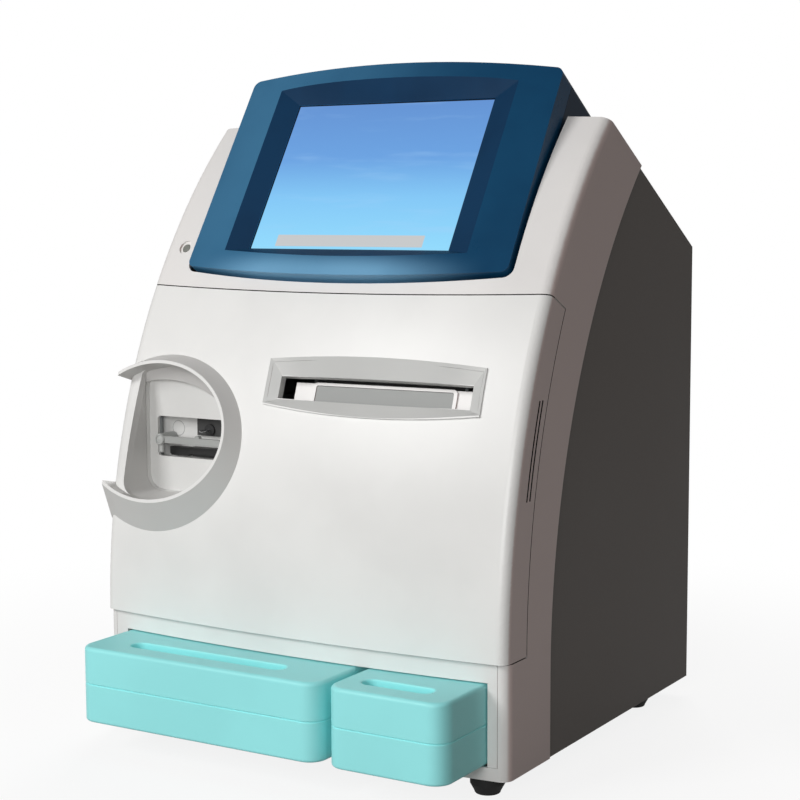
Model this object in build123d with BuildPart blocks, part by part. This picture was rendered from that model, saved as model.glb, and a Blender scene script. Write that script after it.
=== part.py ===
from build123d import *
import math
import os

# Blood gas analyzer, a free-standing benchtop instrument. Millimetres, +Z up, +X to the
# right of someone standing in front, -Y towards that person. The origin lies under the
# middle of the instrument, on the surface that its feet stand on.

# ---------------------------------------------------------------- driving dimensions
WIDTH = 340.0  # over the white side strips
FOOT_HEIGHT = 13.0  # rubber feet under the housing
BASE_PANEL_HEIGHT = 79.4  # housing bottom to the door's lower seam
DOOR_HEIGHT = 243.4  # lower seam to the upper seam, at the sides
DOOR_ARCH = 3.8  # the upper seam hangs this much lower in the middle
REAR_Y = 187.0  # outer face of the rear edge

FRONT_Y = -131.0  # front face at the side edges, at the foot of the door
FRONT_RADIUS = 505.0  # side view: the front leans back on this arc
FRONT_BOW = 9.1  # plan view: the middle stands forward by this much
CORNER_RADIUS = 8.0  # rounded vertical front edges
BASE_STEP = 3.5  # the base stands behind the door's skin
WALL = 3.0  # moulded white shell
SHEET = 1.5  # folded sheet metal inside
COVER_SHEET = 1.2  # dark rear cover
COVER_STEP = 1.5  # the cover stands inside the white shell
SEAM = 0.8  # gap round the door
SEAT = 0.3  # assembly gap between pieces that seat on each other

STRIP_FOOT_Y = -65.0  # side view: rear edge of the white strip at the foot
STRIP_TOP_Y = 82.0  # and where it meets the roof
ROOF_ANGLE = 30.0  # the roof falls to the rear by this many degrees
ROOF_FRONT_Y = 24.0  # side view: roof meets the front arc here
FLANGE_DEPTH = 30.5  # the door wraps round the side by this much
FLANGE_CUT = 12.0  # its top rear corner is cut off by this height
LEDGE = 14.0  # inward ledge of the shell along the door's upper seam

DISPLAY_TILT = 32.3  # degrees back from upright
SCREEN_WIDTH = 171.8  # 8.4 inch panel, 4:3
SCREEN_HEIGHT = 128.9
SCREEN_Y = -24.2  # middle of the screen
SCREEN_Z = 417.2

PACK_FRONT_Y = -187.0  # front faces of the two packs
PACK_DEPTH = 190.0
PACK_HEIGHT = 55.2
PACK_LIFT = 10.4  # pack underside above the housing bottom
PACK_SPLIT = 28.0  # height of the tray under the parting line
PACK_MARGIN_LEFT = 19.8  # from the left side of the instrument to the large pack
PACK_MARGIN_RIGHT = 15.6  # and from the small pack to the right side
LARGE_PACK_WIDTH = 207.2
PACK_GAP = 6.4  # between the two packs
PACK_CORNER = 13.0  # rounded vertical front edges
BAY_CLEARANCE = 0.9  # round each pack in its bay

RING_INBOARD = 43.0  # middle of the sampling ring from the instrument's left side
RING_Z = 220.0
RING_HALF_WIDTH = 79.5
RING_HALF_HEIGHT = 67.3
RING_RISE = 10.0  # crest above the door's skin
CREST_HALF_WIDTH = 68.0
CREST_HALF_HEIGHT = 50.7
CREST_SHIFT = 7.7  # the crest sits higher than the foot of the ring
CREST_LIP = 2.4  # flat rim round the crest
OPENING_REACH = 30.0  # the opening's straight left edge, from the ring's middle
OPENING_CORNER = 12.0  # its rounded lower left corner
OPENING_TOP_CORNER = 4.0

BEZEL_INBOARD = 119.0  # middle of the printer bezel from the instrument's right side
BEZEL_Z = 270.4
BEZEL_WIDTH = 173.5
BEZEL_SIDE_HEIGHT = 34.0
BEZEL_ARCH_TOP = 3.3
BEZEL_ARCH_LOW = 6.2
BEZEL_LAP = 2.6  # the bezel covers the edge of its hole in the door
BEZEL_PROUD = 1.6
BEZEL_RIM = 0.8  # narrow edge left between the bezel's outline and its bevels
BEVEL_DEPTH = 5.0  # the bevels end this far behind the skin
BEVEL_REACH = 6.0  # cutting height in front of it
BEZEL_DEPTH = 11.0  # its tunnel ends this far behind the skin
WINDOW_WIDTH = 154.0  # clear opening of the bezel
WINDOW_HEIGHT = 17.4
WINDOW_DROP = 3.2

HINGE_INSET = 10.0  # hinge line inboard of the door's side
HINGE_BACK = 20.0  # and behind the flange's rear edge
HINGE_PIN_RADIUS = 2.0
RUNNING_FIT = 0.05  # radial clearance of pins and shafts

# ---------------------------------------------------------------- values worked out from them
HALF = WIDTH / 2
RING_X = -HALF + RING_INBOARD
OPENING_LEFT = RING_X - OPENING_REACH
BEZEL_X = HALF - BEZEL_INBOARD
LARGE_PACK_LEFT = -HALF + PACK_MARGIN_LEFT
SMALL_PACK_LEFT = LARGE_PACK_LEFT + LARGE_PACK_WIDTH + PACK_GAP
SMALL_PACK_WIDTH = HALF - PACK_MARGIN_RIGHT - SMALL_PACK_LEFT
BODY_LOW = FOOT_HEIGHT
DOOR_LOW = BODY_LOW + BASE_PANEL_HEIGHT
DOOR_HIGH = DOOR_LOW + DOOR_HEIGHT
ROOF_SLOPE = math.tan(math.radians(ROOF_ANGLE))
BOW_RADIUS = (HALF**2 + FRONT_BOW**2) / (2 * FRONT_BOW)
BOW_AXIS_Y = FRONT_Y - FRONT_BOW + BOW_RADIUS
FAR = 500.0  # longer than the instrument, for cutting blocks


def front_y(height, setback=0.0):
    """Y of the front face in the middle plane, or of a face set back behind it."""
    rise = max(height - DOOR_LOW, 0.0)
    radius = FRONT_RADIUS - setback
    return FRONT_Y - FRONT_BOW + FRONT_RADIUS - math.sqrt(radius**2 - rise**2)


def edge_y(height):
    """Y of the front face at the instrument's side edges."""
    return front_y(height) + FRONT_BOW


ROOF_FRONT_Z = DOOR_LOW + math.sqrt(FRONT_RADIUS**2 - (FRONT_Y + FRONT_RADIUS - ROOF_FRONT_Y) ** 2)


def roof_z(y):
    """Height of the white roof above a point."""
    return ROOF_FRONT_Z - ROOF_SLOPE * (y - ROOF_FRONT_Y)


def surface_plane(x, z):
    """Plane that touches the bowed front face, its normal pointing out of the face."""
    turn = math.asin(x / (BOW_AXIS_Y - front_y(z)))
    lean = math.asin((z - DOOR_LOW) / FRONT_RADIUS)
    reach = BOW_AXIS_Y - front_y(z)
    origin = (x, BOW_AXIS_Y - reach * math.cos(turn), z)
    normal = (math.sin(turn) * math.cos(lean), -math.cos(turn) * math.cos(lean), math.sin(lean))
    return Plane(origin=origin, x_dir=(math.cos(turn), math.sin(turn), 0), z_dir=normal)


def bowed_block(setback, low, high, half_width=HALF, rear=REAR_Y):
    """Everything behind the bowed front face, between two heights."""
    foot = (front_y(low, setback), low)
    knee = (front_y(DOOR_LOW, setback), max(low, min(high, DOOR_LOW)))
    with BuildPart() as block:
        with BuildSketch(Plane.YZ):
            with BuildLine():
                lower = Line((rear, high), (rear, low))
                bottom = Line(lower @ 1, foot)
                if low < DOOR_LOW:
                    Line(foot, knee)
                if high > DOOR_LOW:
                    top = (front_y(high, setback), high)
                    start = knee if low < DOOR_LOW else foot
                    middle_height = (start[1] + high) / 2
                    ThreePointArc(start, (front_y(middle_height, setback), middle_height), top)
                    Line(top, (rear, high))
                else:
                    Line(knee, (rear, high))
            make_face()
        revolve(axis=Axis((0, BOW_AXIS_Y, 0), (0, 0, 1)), revolution_arc=9)
        mirror(about=Plane.YZ)
        with Locations((0, rear - FAR / 2, (low + high) / 2)):
            Box(2 * half_width, FAR, 2 * FAR, mode=Mode.INTERSECT)
    return block.part


def rounded_block(setback, low, high, inset=0.0):
    """A bowed block whose vertical front edges are rounded."""
    half_width = HALF - inset
    with BuildPart() as skin:
        add(bowed_block(setback, low, high, half_width))
        corners = skin.edges().filter_by(
            lambda e: abs(abs((e @ 0).X) - half_width) < 0.01
            and abs(abs((e @ 1).X) - half_width) < 0.01
            and (e @ 0.5).Y < edge_y((e @ 0.5).Z) + setback + 1.5
            and abs((e @ 0).Z - (e @ 1).Z) > 5
        )
        fillet(corners, radius=CORNER_RADIUS - inset)
    return skin.part


def side_prism(half_width, drop=0.0, front_strip=True):
    """Side view of the white shell, or of all that lies under its roof, as a wide block."""
    with BuildPart() as prism:
        with BuildSketch(Plane.YZ):
            with BuildLine():
                front_top = (-FAR, roof_z(-FAR) - drop)
                Line((-FAR, 0), front_top)
                if front_strip:
                    top = (STRIP_TOP_Y, roof_z(STRIP_TOP_Y) - drop)
                    Line(front_top, top)
                    TangentArc((STRIP_FOOT_Y, DOOR_LOW - 20), top, tangent=(0, 1))
                    Line((STRIP_FOOT_Y, DOOR_LOW - 20), (STRIP_FOOT_Y, 0))
                    Line((STRIP_FOOT_Y, 0), (-FAR, 0))
                else:
                    top = (REAR_Y, roof_z(REAR_Y) - drop)
                    Line(front_top, top)
                    Line(top, (REAR_Y, 0))
                    Line((REAR_Y, 0), (-FAR, 0))
            make_face()
        extrude(amount=half_width, both=True)
    return prism.part


SEAM_TOP_Z = DOOR_HIGH - FLANGE_CUT
DOOR_LEAN = math.atan2(edge_y(SEAM_TOP_Z) - edge_y(DOOR_LOW), SEAM_TOP_Z - DOOR_LOW)
seam_plane = Plane(
    origin=(0, edge_y(DOOR_HIGH), DOOR_HIGH),
    x_dir=(1, 0, 0),
    z_dir=(0, -math.cos(DOOR_LEAN), math.sin(DOOR_LEAN)),
)
SEAM_ARCH = (DOOR_ARCH + FRONT_BOW * math.tan(DOOR_LEAN)) * math.cos(DOOR_LEAN)


def door_zone(clearance):
    """The space that the door fills. Its top seam is square to the leaning hinge line."""
    seam_low = edge_y(DOOR_LOW) + FLANGE_DEPTH
    seam_top = (edge_y(SEAM_TOP_Z) + FLANGE_DEPTH, SEAM_TOP_Z)
    shoulder = (edge_y(DOOR_HIGH), DOOR_HIGH)
    cut_slope = (shoulder[1] - seam_top[1]) / (seam_top[0] - shoulder[0])
    with BuildPart() as zone:
        with BuildSketch(Plane.YZ):
            with BuildLine():
                Line((-FAR, DOOR_LOW), (seam_low, DOOR_LOW))
                TangentArc((seam_low, DOOR_LOW), seam_top, tangent=(0, 1))
                Line(seam_top, (-FAR, seam_top[1] + cut_slope * (seam_top[0] + FAR)))
                Line((-FAR, seam_top[1] + cut_slope * (seam_top[0] + FAR)), (-FAR, DOOR_LOW))
            make_face()
            if clearance > 0:
                offset(amount=-clearance, mode=Mode.REPLACE)
        extrude(amount=HALF + 20, both=True)
        with BuildSketch(seam_plane):
            with BuildLine():
                Line((-HALF - 10, 0), (-HALF - 10, -FAR))
                Line((-HALF - 10, -FAR), (HALF + 10, -FAR))
                Line((HALF + 10, -FAR), (HALF + 10, 0))
                ThreePointArc((HALF + 10, 0), (0, -SEAM_ARCH), (-HALF - 10, 0))
            make_face()
            if clearance > 0:
                offset(amount=-clearance, mode=Mode.REPLACE)
        extrude(amount=FAR, both=True, mode=Mode.INTERSECT)
    return zone.part


def room(setback, low, high, inset, drop=0.0):
    """Space inside the housing, behind its front and under its roof."""
    with BuildPart() as space:
        add(rounded_block(setback, low, high, inset))
        add(side_prism(HALF, drop, front_strip=False), mode=Mode.INTERSECT)
    return space.part


ROOF_DROP = WALL / math.cos(math.radians(ROOF_ANGLE))
ABOVE_ROOF = ROOF_FRONT_Z + 20

# ---------------------------------------------------------------- shapes shared by the door
ring_plane = surface_plane(RING_X, RING_Z)
bezel_plane = surface_plane(BEZEL_X, BEZEL_Z)
LIP = 1.8  # wall of the ring's funnel inside the door
COLLAR_DEPTH = 6.5  # the straight part of the collar, before it narrows to the panel
FIT = 0.2  # clearance of a moulded collar in its hole
FUNNEL_RIM = 0.6  # the funnel's left edge stands this much above the skin
FOOT_GAP = 0.05  # paint gap under the ring and the bezel
SAMPLER_Y = -91.0  # front face of the sampler panel
SAMPLER_THICK = 2.5
PANEL_RIM = 4.0  # raised rim of the panel, which carries the funnel's line on
SAMPLER_GAP = 0.5  # from the funnel's end to the rim
SAMPLER_ARC_X = RING_X - 8.0
SAMPLER_ARC_Z = 222.5
SAMPLER_ARC_WIDTH = 62.0
SAMPLER_ARC_HEIGHT = 42.5
FUNNEL_REACH = 22.5  # straight left edge of the funnel's end, from the arc's middle
PANEL_LAP = 1.0  # the panel is larger than the funnel's end by this much


def opening_outline(half_width, half_height, reach, growth):
    """D shape about the origin: an ellipse, straight on its left, with rounded corners there."""
    with BuildSketch() as shape:
        Ellipse(half_width + growth, half_height + growth)
        with Locations((FAR / 2 - reach - growth, 0)):
            Rectangle(FAR, FAR, mode=Mode.INTERSECT)
        corner_top = shape.vertices().sort_by(Axis.X)[:2].sort_by(Axis.Y)[-1]
        fillet(corner_top, radius=OPENING_TOP_CORNER + growth)
        corner_low = shape.vertices().sort_by(Axis.X)[:3].sort_by(Axis.Y)[0]
        fillet(corner_low, radius=OPENING_CORNER + growth)
    return shape.sketch


def opening_block(growth, low, high):
    """Block of the sampling opening's outline in the door, grown by an amount."""
    outline = opening_outline(CREST_HALF_WIDTH, CREST_HALF_HEIGHT, OPENING_REACH, growth)
    with BuildPart() as block:
        with BuildSketch(ring_plane.offset(low)):
            with Locations((0, CREST_SHIFT)):
                add(outline)
        extrude(amount=high - low)
    return block.part


def barrel(width, side_height, arch_top, arch_low, centre=(0, 0)):
    """Sketch with straight sides and bulging top and bottom edges."""
    half = width / 2
    rise = side_height / 2
    with BuildSketch() as shape:
        with BuildLine():
            Line((-half, -rise), (-half, rise))
            ThreePointArc((-half, rise), (0, rise + arch_top), (half, rise))
            Line((half, rise), (half, -rise))
            ThreePointArc((half, -rise), (0, -rise - arch_low), (-half, -rise))
        make_face()
    return shape.sketch.moved(Location((centre[0], centre[1], 0)))


def bezel_outline(inset):
    """Outline of the printer bezel, drawn in by an amount."""
    return barrel(
        BEZEL_WIDTH - 2 * inset,
        BEZEL_SIDE_HEIGHT - 2 * inset,
        BEZEL_ARCH_TOP,
        BEZEL_ARCH_LOW,
    )


# ---------------------------------------------------------------- display geometry
display_plane = Plane(
    origin=(0, SCREEN_Y, SCREEN_Z),
    x_dir=(1, 0, 0),
    z_dir=(0, -math.cos(math.radians(DISPLAY_TILT)), math.sin(math.radians(DISPLAY_TILT))),
)
FACE_TOP_HALF = HALF - 34.5  # blue front face: half widths and corner heights from the screen's middle
FACE_LOW_HALF = HALF - 33.0
FACE_TOP = 87.5
FACE_LOW = 80.4
FACE_ARCH_TOP = 5.0
FACE_ARCH_LOW = 10.6
FACE_BOW = 9.0
FACE_PROUD = 9.8  # middle of the bowed face in front of the screen
FACE_CORNER = 6.0
RECESS_MIDDLE_TOP = 79.5  # bevelled recess round the screen, in the middle of its edges
RECESS_MIDDLE_LOW = 75.5
BEZEL_RIM_DEPTH = 16.0  # the blue front frame ends this far behind the screen plane
DISPLAY_DEPTH = 70.0  # the display housing ends this far behind it
DISPLAY_FOOT_DEPTH = 32.0
DISPLAY_GAP = 2.5  # between the display housing and the white shell
DISPLAY_WALL = 3.0


def face_outline(inset=0.0):
    """Front view of the display housing, drawn in or out by an amount."""
    with BuildSketch() as shape:
        with BuildLine():
            Line((-FACE_LOW_HALF, -FACE_LOW), (-FACE_TOP_HALF, FACE_TOP))
            ThreePointArc(
                (-FACE_TOP_HALF, FACE_TOP),
                (0, FACE_TOP + FACE_ARCH_TOP),
                (FACE_TOP_HALF, FACE_TOP),
            )
            Line((FACE_TOP_HALF, FACE_TOP), (FACE_LOW_HALF, -FACE_LOW))
            ThreePointArc(
                (FACE_LOW_HALF, -FACE_LOW),
                (0, -FACE_LOW - FACE_ARCH_LOW),
                (-FACE_LOW_HALF, -FACE_LOW),
            )
        make_face()
        fillet(shape.vertices(), radius=FACE_CORNER)
        if inset != 0:
            offset(amount=-inset, mode=Mode.REPLACE)
    return shape.sketch


def display_prism(inset, low, high):
    """The display housing's outline as a block, between two distances from the screen plane."""
    with BuildPart() as prism:
        with BuildSketch(display_plane.offset(low)):
            add(face_outline(inset))
        extrude(amount=high - low)
    return prism.part


def display_wedge(inset):
    """Side view of the display housing behind its front frame, as a wide block."""
    top = FACE_TOP + FACE_ARCH_TOP + 5
    low = -FACE_LOW - FACE_ARCH_LOW - 5
    side_plane = Plane(origin=display_plane.origin, x_dir=display_plane.y_dir, z_dir=(1, 0, 0))
    with BuildPart() as wedge:
        with BuildSketch(side_plane):
            Polygon(
                (top, 50),
                (top, -DISPLAY_DEPTH + inset),
                (low, -DISPLAY_FOOT_DEPTH + inset),
                (low, 50),
                align=None,
            )
        extrude(amount=FAR / 2, both=True)
    return wedge.part


def display_room():
    """Hollow inside the display housing, open towards the front frame."""
    with BuildPart() as hollow:
        add(display_prism(DISPLAY_WALL, -DISPLAY_DEPTH, 0))
        add(display_wedge(DISPLAY_WALL), mode=Mode.INTERSECT)
    return hollow.part


def save(piece, name):
    """Label a finished piece and write its STEP file."""
    piece.part.label = name
    export_step(piece.part, f"parts/{name}.step")


os.makedirs("parts", exist_ok=True)

# ================================================================ white housing
POST = 7.5  # width of the shell's posts beside the base panel
BASE_LIP = 9.0  # height of the shell's lip under the packs
LAMP_X = -HALF + 20.5
LAMP_Z = 363.0
LAMP_RADIUS = 3.4
LAMP_WELL = 5.6

with BuildPart() as front_shell:
    add(rounded_block(0, DOOR_LOW, ABOVE_ROOF))
    add(rounded_block(BASE_STEP, BODY_LOW, DOOR_LOW))
    add(side_prism(HALF), mode=Mode.INTERSECT)
    add(room(WALL + LEDGE, BODY_LOW - 1, ABOVE_ROOF, WALL, ROOF_DROP), mode=Mode.SUBTRACT)
    add(room(WALL, DOOR_HIGH + WALL, ABOVE_ROOF, WALL, ROOF_DROP), mode=Mode.SUBTRACT)
    add(room(BASE_STEP + WALL, BODY_LOW - 1, DOOR_LOW, WALL), mode=Mode.SUBTRACT)
    add(door_zone(0), mode=Mode.SUBTRACT)
    add(display_prism(-DISPLAY_GAP, -DISPLAY_DEPTH - DISPLAY_GAP, 60), mode=Mode.SUBTRACT)
    with Locations((0, -FAR / 2 - 60, (BODY_LOW + BASE_LIP + DOOR_LOW) / 2)):
        Box(WIDTH - 2 * POST, FAR, DOOR_LOW - BODY_LOW - BASE_LIP, mode=Mode.SUBTRACT)
    with BuildSketch(surface_plane(LAMP_X, LAMP_Z).offset(-1.6)):
        Circle(LAMP_WELL)
    extrude(amount=20, mode=Mode.SUBTRACT)
    with BuildSketch(surface_plane(LAMP_X, LAMP_Z).offset(-10)):
        Circle(LAMP_RADIUS + FIT)
    extrude(amount=20, mode=Mode.SUBTRACT)
save(front_shell, "front_shell")

with BuildPart() as status_lamp:
    with BuildSketch(surface_plane(LAMP_X, LAMP_Z).offset(-5)):
        Circle(LAMP_RADIUS)
    extrude(amount=4.2)
    fillet(status_lamp.faces().sort_by(Axis.Y)[0].edges(), radius=0.8)
    with BuildSketch(surface_plane(LAMP_X, LAMP_Z).offset(-WALL - SEAT - 2)):
        Circle(LAMP_WELL)
    extrude(amount=2)
save(status_lamp, "status_lamp")

# ================================================================ packs and their bay
PACK_LOW = BODY_LOW + PACK_LIFT
PACK_HIGH = PACK_LOW + PACK_HEIGHT
PACK_REAR_Y = PACK_FRONT_Y + PACK_DEPTH
BAY_LEFT = LARGE_PACK_LEFT - BAY_CLEARANCE
BAY_RIGHT = SMALL_PACK_LEFT + SMALL_PACK_WIDTH + BAY_CLEARANCE
BAY_HIGH = PACK_HIGH + BAY_CLEARANCE
DECK_LOW = BAY_HIGH + 5.5
DECK_HIGH = DECK_LOW + SHEET
PLATE_HIGH = BODY_LOW + SHEET  # top of the bottom tray
GROOVE_Y = -162.0  # finger grooves in the pack lids
GROOVE_WIDTH = 14.0
GROOVE_DEPTH = 8.0
PARTING_GROOVE = 0.8
SOCKET_RADIUS = 2.7
NIPPLE_RADIUS = 2.5
NIPPLE_LENGTH = 12.0


def pack_outline(left, width, inset=0.0):
    """Plan view of a pack: rounded at the front, square at the rear."""
    with BuildSketch() as shape:
        with Locations((left + width / 2, PACK_FRONT_Y + PACK_DEPTH / 2)):
            Rectangle(width - 2 * inset, PACK_DEPTH - 2 * inset)
        fillet(shape.vertices().group_by(Axis.Y)[0], radius=PACK_CORNER)
    return shape.sketch


def socket_positions(left, width, count):
    """X of the fluid sockets in the rear of a pack."""
    return [left + width * (index + 0.5) / count for index in range(count)]


def pack_tray(left, width, count):
    """Lower half of a pack, with its fluid sockets."""
    split = PACK_LOW + PACK_SPLIT
    with BuildPart() as tray:
        with BuildSketch(Plane.XY.offset(PACK_LOW)):
            add(pack_outline(left, width))
        extrude(amount=PACK_SPLIT)
        fillet(tray.faces().sort_by(Axis.Z)[0].edges(), radius=2.0)
        chamfer(tray.faces().sort_by(Axis.Z)[-1].edges(), length=PARTING_GROOVE)
        for x in socket_positions(left, width, count):
            with BuildSketch(Plane.XZ.offset(-PACK_REAR_Y)):
                with Locations((x, (PACK_LOW + split) / 2)):
                    Circle(SOCKET_RADIUS)
            extrude(amount=NIPPLE_LENGTH + 2, mode=Mode.SUBTRACT)
    return tray


def finger_groove(groove_left, groove_length):
    """Rounded slot in the top of a pack that the fingers pull on."""
    with BuildPart() as groove:
        with BuildSketch(Plane.XY.offset(PACK_HIGH - GROOVE_DEPTH)):
            with Locations((groove_left + groove_length / 2, GROOVE_Y)):
                SlotOverall(groove_length, GROOVE_WIDTH)
        extrude(amount=GROOVE_DEPTH + 5)
        fillet(groove.faces().sort_by(Axis.Z)[0].edges(), radius=4.0)
    return groove.part


def pack_lid(left, width, groove_left, groove_length):
    """Upper half of a pack, with the finger groove that it is pulled out by."""
    with BuildPart() as lid:
        with BuildSketch(Plane.XY.offset(PACK_LOW + PACK_SPLIT)):
            add(pack_outline(left, width))
        extrude(amount=PACK_HEIGHT - PACK_SPLIT)
        fillet(lid.faces().sort_by(Axis.Z)[-1].edges(), radius=3.0)
        chamfer(lid.faces().sort_by(Axis.Z)[0].edges(), length=PARTING_GROOVE)
        add(finger_groove(groove_left, groove_length), mode=Mode.SUBTRACT)
        rim = lid.edges().filter_by(
            lambda e: abs((e @ 0).Z - PACK_HIGH) < 0.01
            and abs((e @ 0.5).Y - GROOVE_Y) < GROOVE_WIDTH / 2 + 0.1
            and e.length < groove_length
            and groove_left - 1 < (e @ 0.5).X < groove_left + groove_length + 1
        )
        fillet(rim, radius=1.2)
    return lid


LARGE_GROOVE_LEFT = LARGE_PACK_LEFT + 31.2
LARGE_GROOVE_LENGTH = LARGE_PACK_WIDTH - 73.2
SMALL_GROOVE_LEFT = SMALL_PACK_LEFT + 15.6
SMALL_GROOVE_LENGTH = SMALL_PACK_WIDTH - 37.0
LARGE_SOCKETS = 4
SMALL_SOCKETS = 2

save(pack_tray(LARGE_PACK_LEFT, LARGE_PACK_WIDTH, LARGE_SOCKETS), "reagent_pack_tray")
save(
    pack_lid(LARGE_PACK_LEFT, LARGE_PACK_WIDTH, LARGE_GROOVE_LEFT, LARGE_GROOVE_LENGTH),
    "reagent_pack_lid",
)
save(pack_tray(SMALL_PACK_LEFT, SMALL_PACK_WIDTH, SMALL_SOCKETS), "rinse_pack_tray")
save(
    pack_lid(SMALL_PACK_LEFT, SMALL_PACK_WIDTH, SMALL_GROOVE_LEFT, SMALL_GROOVE_LENGTH),
    "rinse_pack_lid",
)

with BuildPart() as base_panel:
    add(rounded_block(BASE_STEP, BODY_LOW + BASE_LIP + SEAT, DOOR_LOW - SEAT))
    add(bowed_block(BASE_STEP + WALL, 0, DOOR_LOW + 50), mode=Mode.SUBTRACT)
    with Locations((0, -FAR / 2, DOOR_LOW / 2)):
        Box(WIDTH - 2 * POST - 2 * SEAT, FAR, FAR, mode=Mode.INTERSECT)
    with Locations(((BAY_LEFT + BAY_RIGHT) / 2, -FAR / 2 - 60, BAY_HIGH - FAR / 2)):
        Box(BAY_RIGHT - BAY_LEFT, FAR, FAR, mode=Mode.SUBTRACT)
save(base_panel, "base_panel")

# ================================================================ folded sheet metal inside
INNER_HALF = HALF - WALL - SEAT
TRAY_WALL = 10.0
REAR_PANEL_Y = REAR_Y - 5.0  # outer face of the rear panel
DIVIDER_X = LARGE_PACK_LEFT + LARGE_PACK_WIDTH + PACK_GAP / 2
RAIL_WIDTH = 8.0
BAY_BACK_Y = PACK_REAR_Y + 2.0
BULKHEAD_Y = -9.0  # front face of the mounting sheet behind the door
DECK_LEG_X = INNER_HALF - 1.0

with BuildPart() as bottom_tray:
    add(rounded_block(BASE_STEP + WALL + SEAT, BODY_LOW, PLATE_HIGH + TRAY_WALL, WALL + SEAT))
    with Locations((0, REAR_PANEL_Y - SHEET - SEAT + FAR / 2, FAR / 2)):
        Box(FAR, FAR, FAR, mode=Mode.SUBTRACT)
    with Locations((0, -20, PLATE_HIGH + FAR / 2)):
        Box(2 * INNER_HALF - 2 * SHEET, FAR, FAR, mode=Mode.SUBTRACT)
save(bottom_tray, "bottom_tray")

with BuildPart() as deck:
    add(rounded_block(BASE_STEP + WALL + SEAT, PLATE_HIGH, DECK_HIGH, HALF - DECK_LEG_X + SHEET))
    with Locations((0, REAR_PANEL_Y - SHEET - SEAT - 20 + FAR / 2, FAR / 2)):
        Box(FAR, FAR, FAR, mode=Mode.SUBTRACT)
    with Locations((0, 0, DECK_LOW - FAR / 2)):
        Box(2 * (DECK_LEG_X - 2 * SHEET), 2 * FAR, FAR, mode=Mode.SUBTRACT)
save(deck, "deck")

with BuildPart() as bay_rails:
    rail_length = PACK_REAR_Y - FRONT_Y - 8
    rail_height = PACK_LOW - PLATE_HIGH - SEAT
    for left, width in ((LARGE_PACK_LEFT, LARGE_PACK_WIDTH), (SMALL_PACK_LEFT, SMALL_PACK_WIDTH)):
        for x in (left + RAIL_WIDTH, left + width - RAIL_WIDTH):
            with Locations((x, PACK_REAR_Y - rail_length / 2, PLATE_HIGH + rail_height / 2)):
                Box(RAIL_WIDTH, rail_length, rail_height)
    with Locations((DIVIDER_X, PACK_REAR_Y - rail_length / 2, (PLATE_HIGH + DECK_LOW) / 2)):
        Box(SHEET, rail_length, DECK_LOW - PLATE_HIGH)
save(bay_rails, "bay_rails")

with BuildPart() as bay_back:
    with Locations((0, BAY_BACK_Y + SHEET / 2, (PLATE_HIGH + DECK_LOW) / 2)):
        Box(2 * (DECK_LEG_X - 2 * SHEET), SHEET, DECK_LOW - PLATE_HIGH)
    for left, width, count in (
        (LARGE_PACK_LEFT, LARGE_PACK_WIDTH, LARGE_SOCKETS),
        (SMALL_PACK_LEFT, SMALL_PACK_WIDTH, SMALL_SOCKETS),
    ):
        for x in socket_positions(left, width, count):
            with Locations((x, BAY_BACK_Y, PACK_LOW + PACK_SPLIT / 2)):
                Cylinder(4.0, 3 * SHEET, rotation=(90, 0, 0), mode=Mode.SUBTRACT)
save(bay_back, "bay_back")

with BuildPart() as fluid_nipples:
    for left, width, count in (
        (LARGE_PACK_LEFT, LARGE_PACK_WIDTH, LARGE_SOCKETS),
        (SMALL_PACK_LEFT, SMALL_PACK_WIDTH, SMALL_SOCKETS),
    ):
        for x in socket_positions(left, width, count):
            seat_plane = Plane.XZ.offset(-BAY_BACK_Y)
            with BuildSketch(seat_plane):
                with Locations((x, PACK_LOW + PACK_SPLIT / 2)):
                    Circle(5.5)
            extrude(amount=1.2)
            with BuildSketch(seat_plane.offset(-8)):
                with Locations((x, PACK_LOW + PACK_SPLIT / 2)):
                    Circle(3.9)
            extrude(amount=8)
            with BuildSketch(seat_plane):
                with Locations((x, PACK_LOW + PACK_SPLIT / 2)):
                    Circle(NIPPLE_RADIUS)
            extrude(amount=NIPPLE_LENGTH)
            with BuildSketch(seat_plane.offset(-8)):
                with Locations((x, PACK_LOW + PACK_SPLIT / 2)):
                    Circle(1.0)
            extrude(amount=8 + NIPPLE_LENGTH, mode=Mode.SUBTRACT)
save(fluid_nipples, "fluid_nipples")

FOOT_X = HALF - 22.0
FRONT_FOOT_Y = -115.0
REAR_FOOT_Y = 128.0
FOOT_RADIUS = 12.0
FOOT_LOW_RADIUS = 9.0

with BuildPart() as rubber_feet:
    with BuildSketch(Plane.XZ):
        with BuildLine():
            Line((0, 0), (FOOT_LOW_RADIUS - 1.5, 0))
            RadiusArc((FOOT_LOW_RADIUS - 1.5, 0), (FOOT_LOW_RADIUS, 1.5), -1.5)
            Line((FOOT_LOW_RADIUS, 1.5), (FOOT_RADIUS, FOOT_HEIGHT - 6))
            Line((FOOT_RADIUS, FOOT_HEIGHT - 6), (FOOT_RADIUS, FOOT_HEIGHT))
            Line((FOOT_RADIUS, FOOT_HEIGHT), (0, FOOT_HEIGHT))
            Line((0, FOOT_HEIGHT), (0, 0))
        make_face()
    revolve(axis=Axis.Z)
foot = rubber_feet.part
with BuildPart() as rubber_feet:
    for x in (-FOOT_X, FOOT_X):
        for y in (FRONT_FOOT_Y, REAR_FOOT_Y):
            add(foot.moved(Location((x, y, 0))))
save(rubber_feet, "rubber_feet")

# ================================================================ rear cover and rear panel
COVER_HALF = HALF - COVER_STEP

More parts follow.
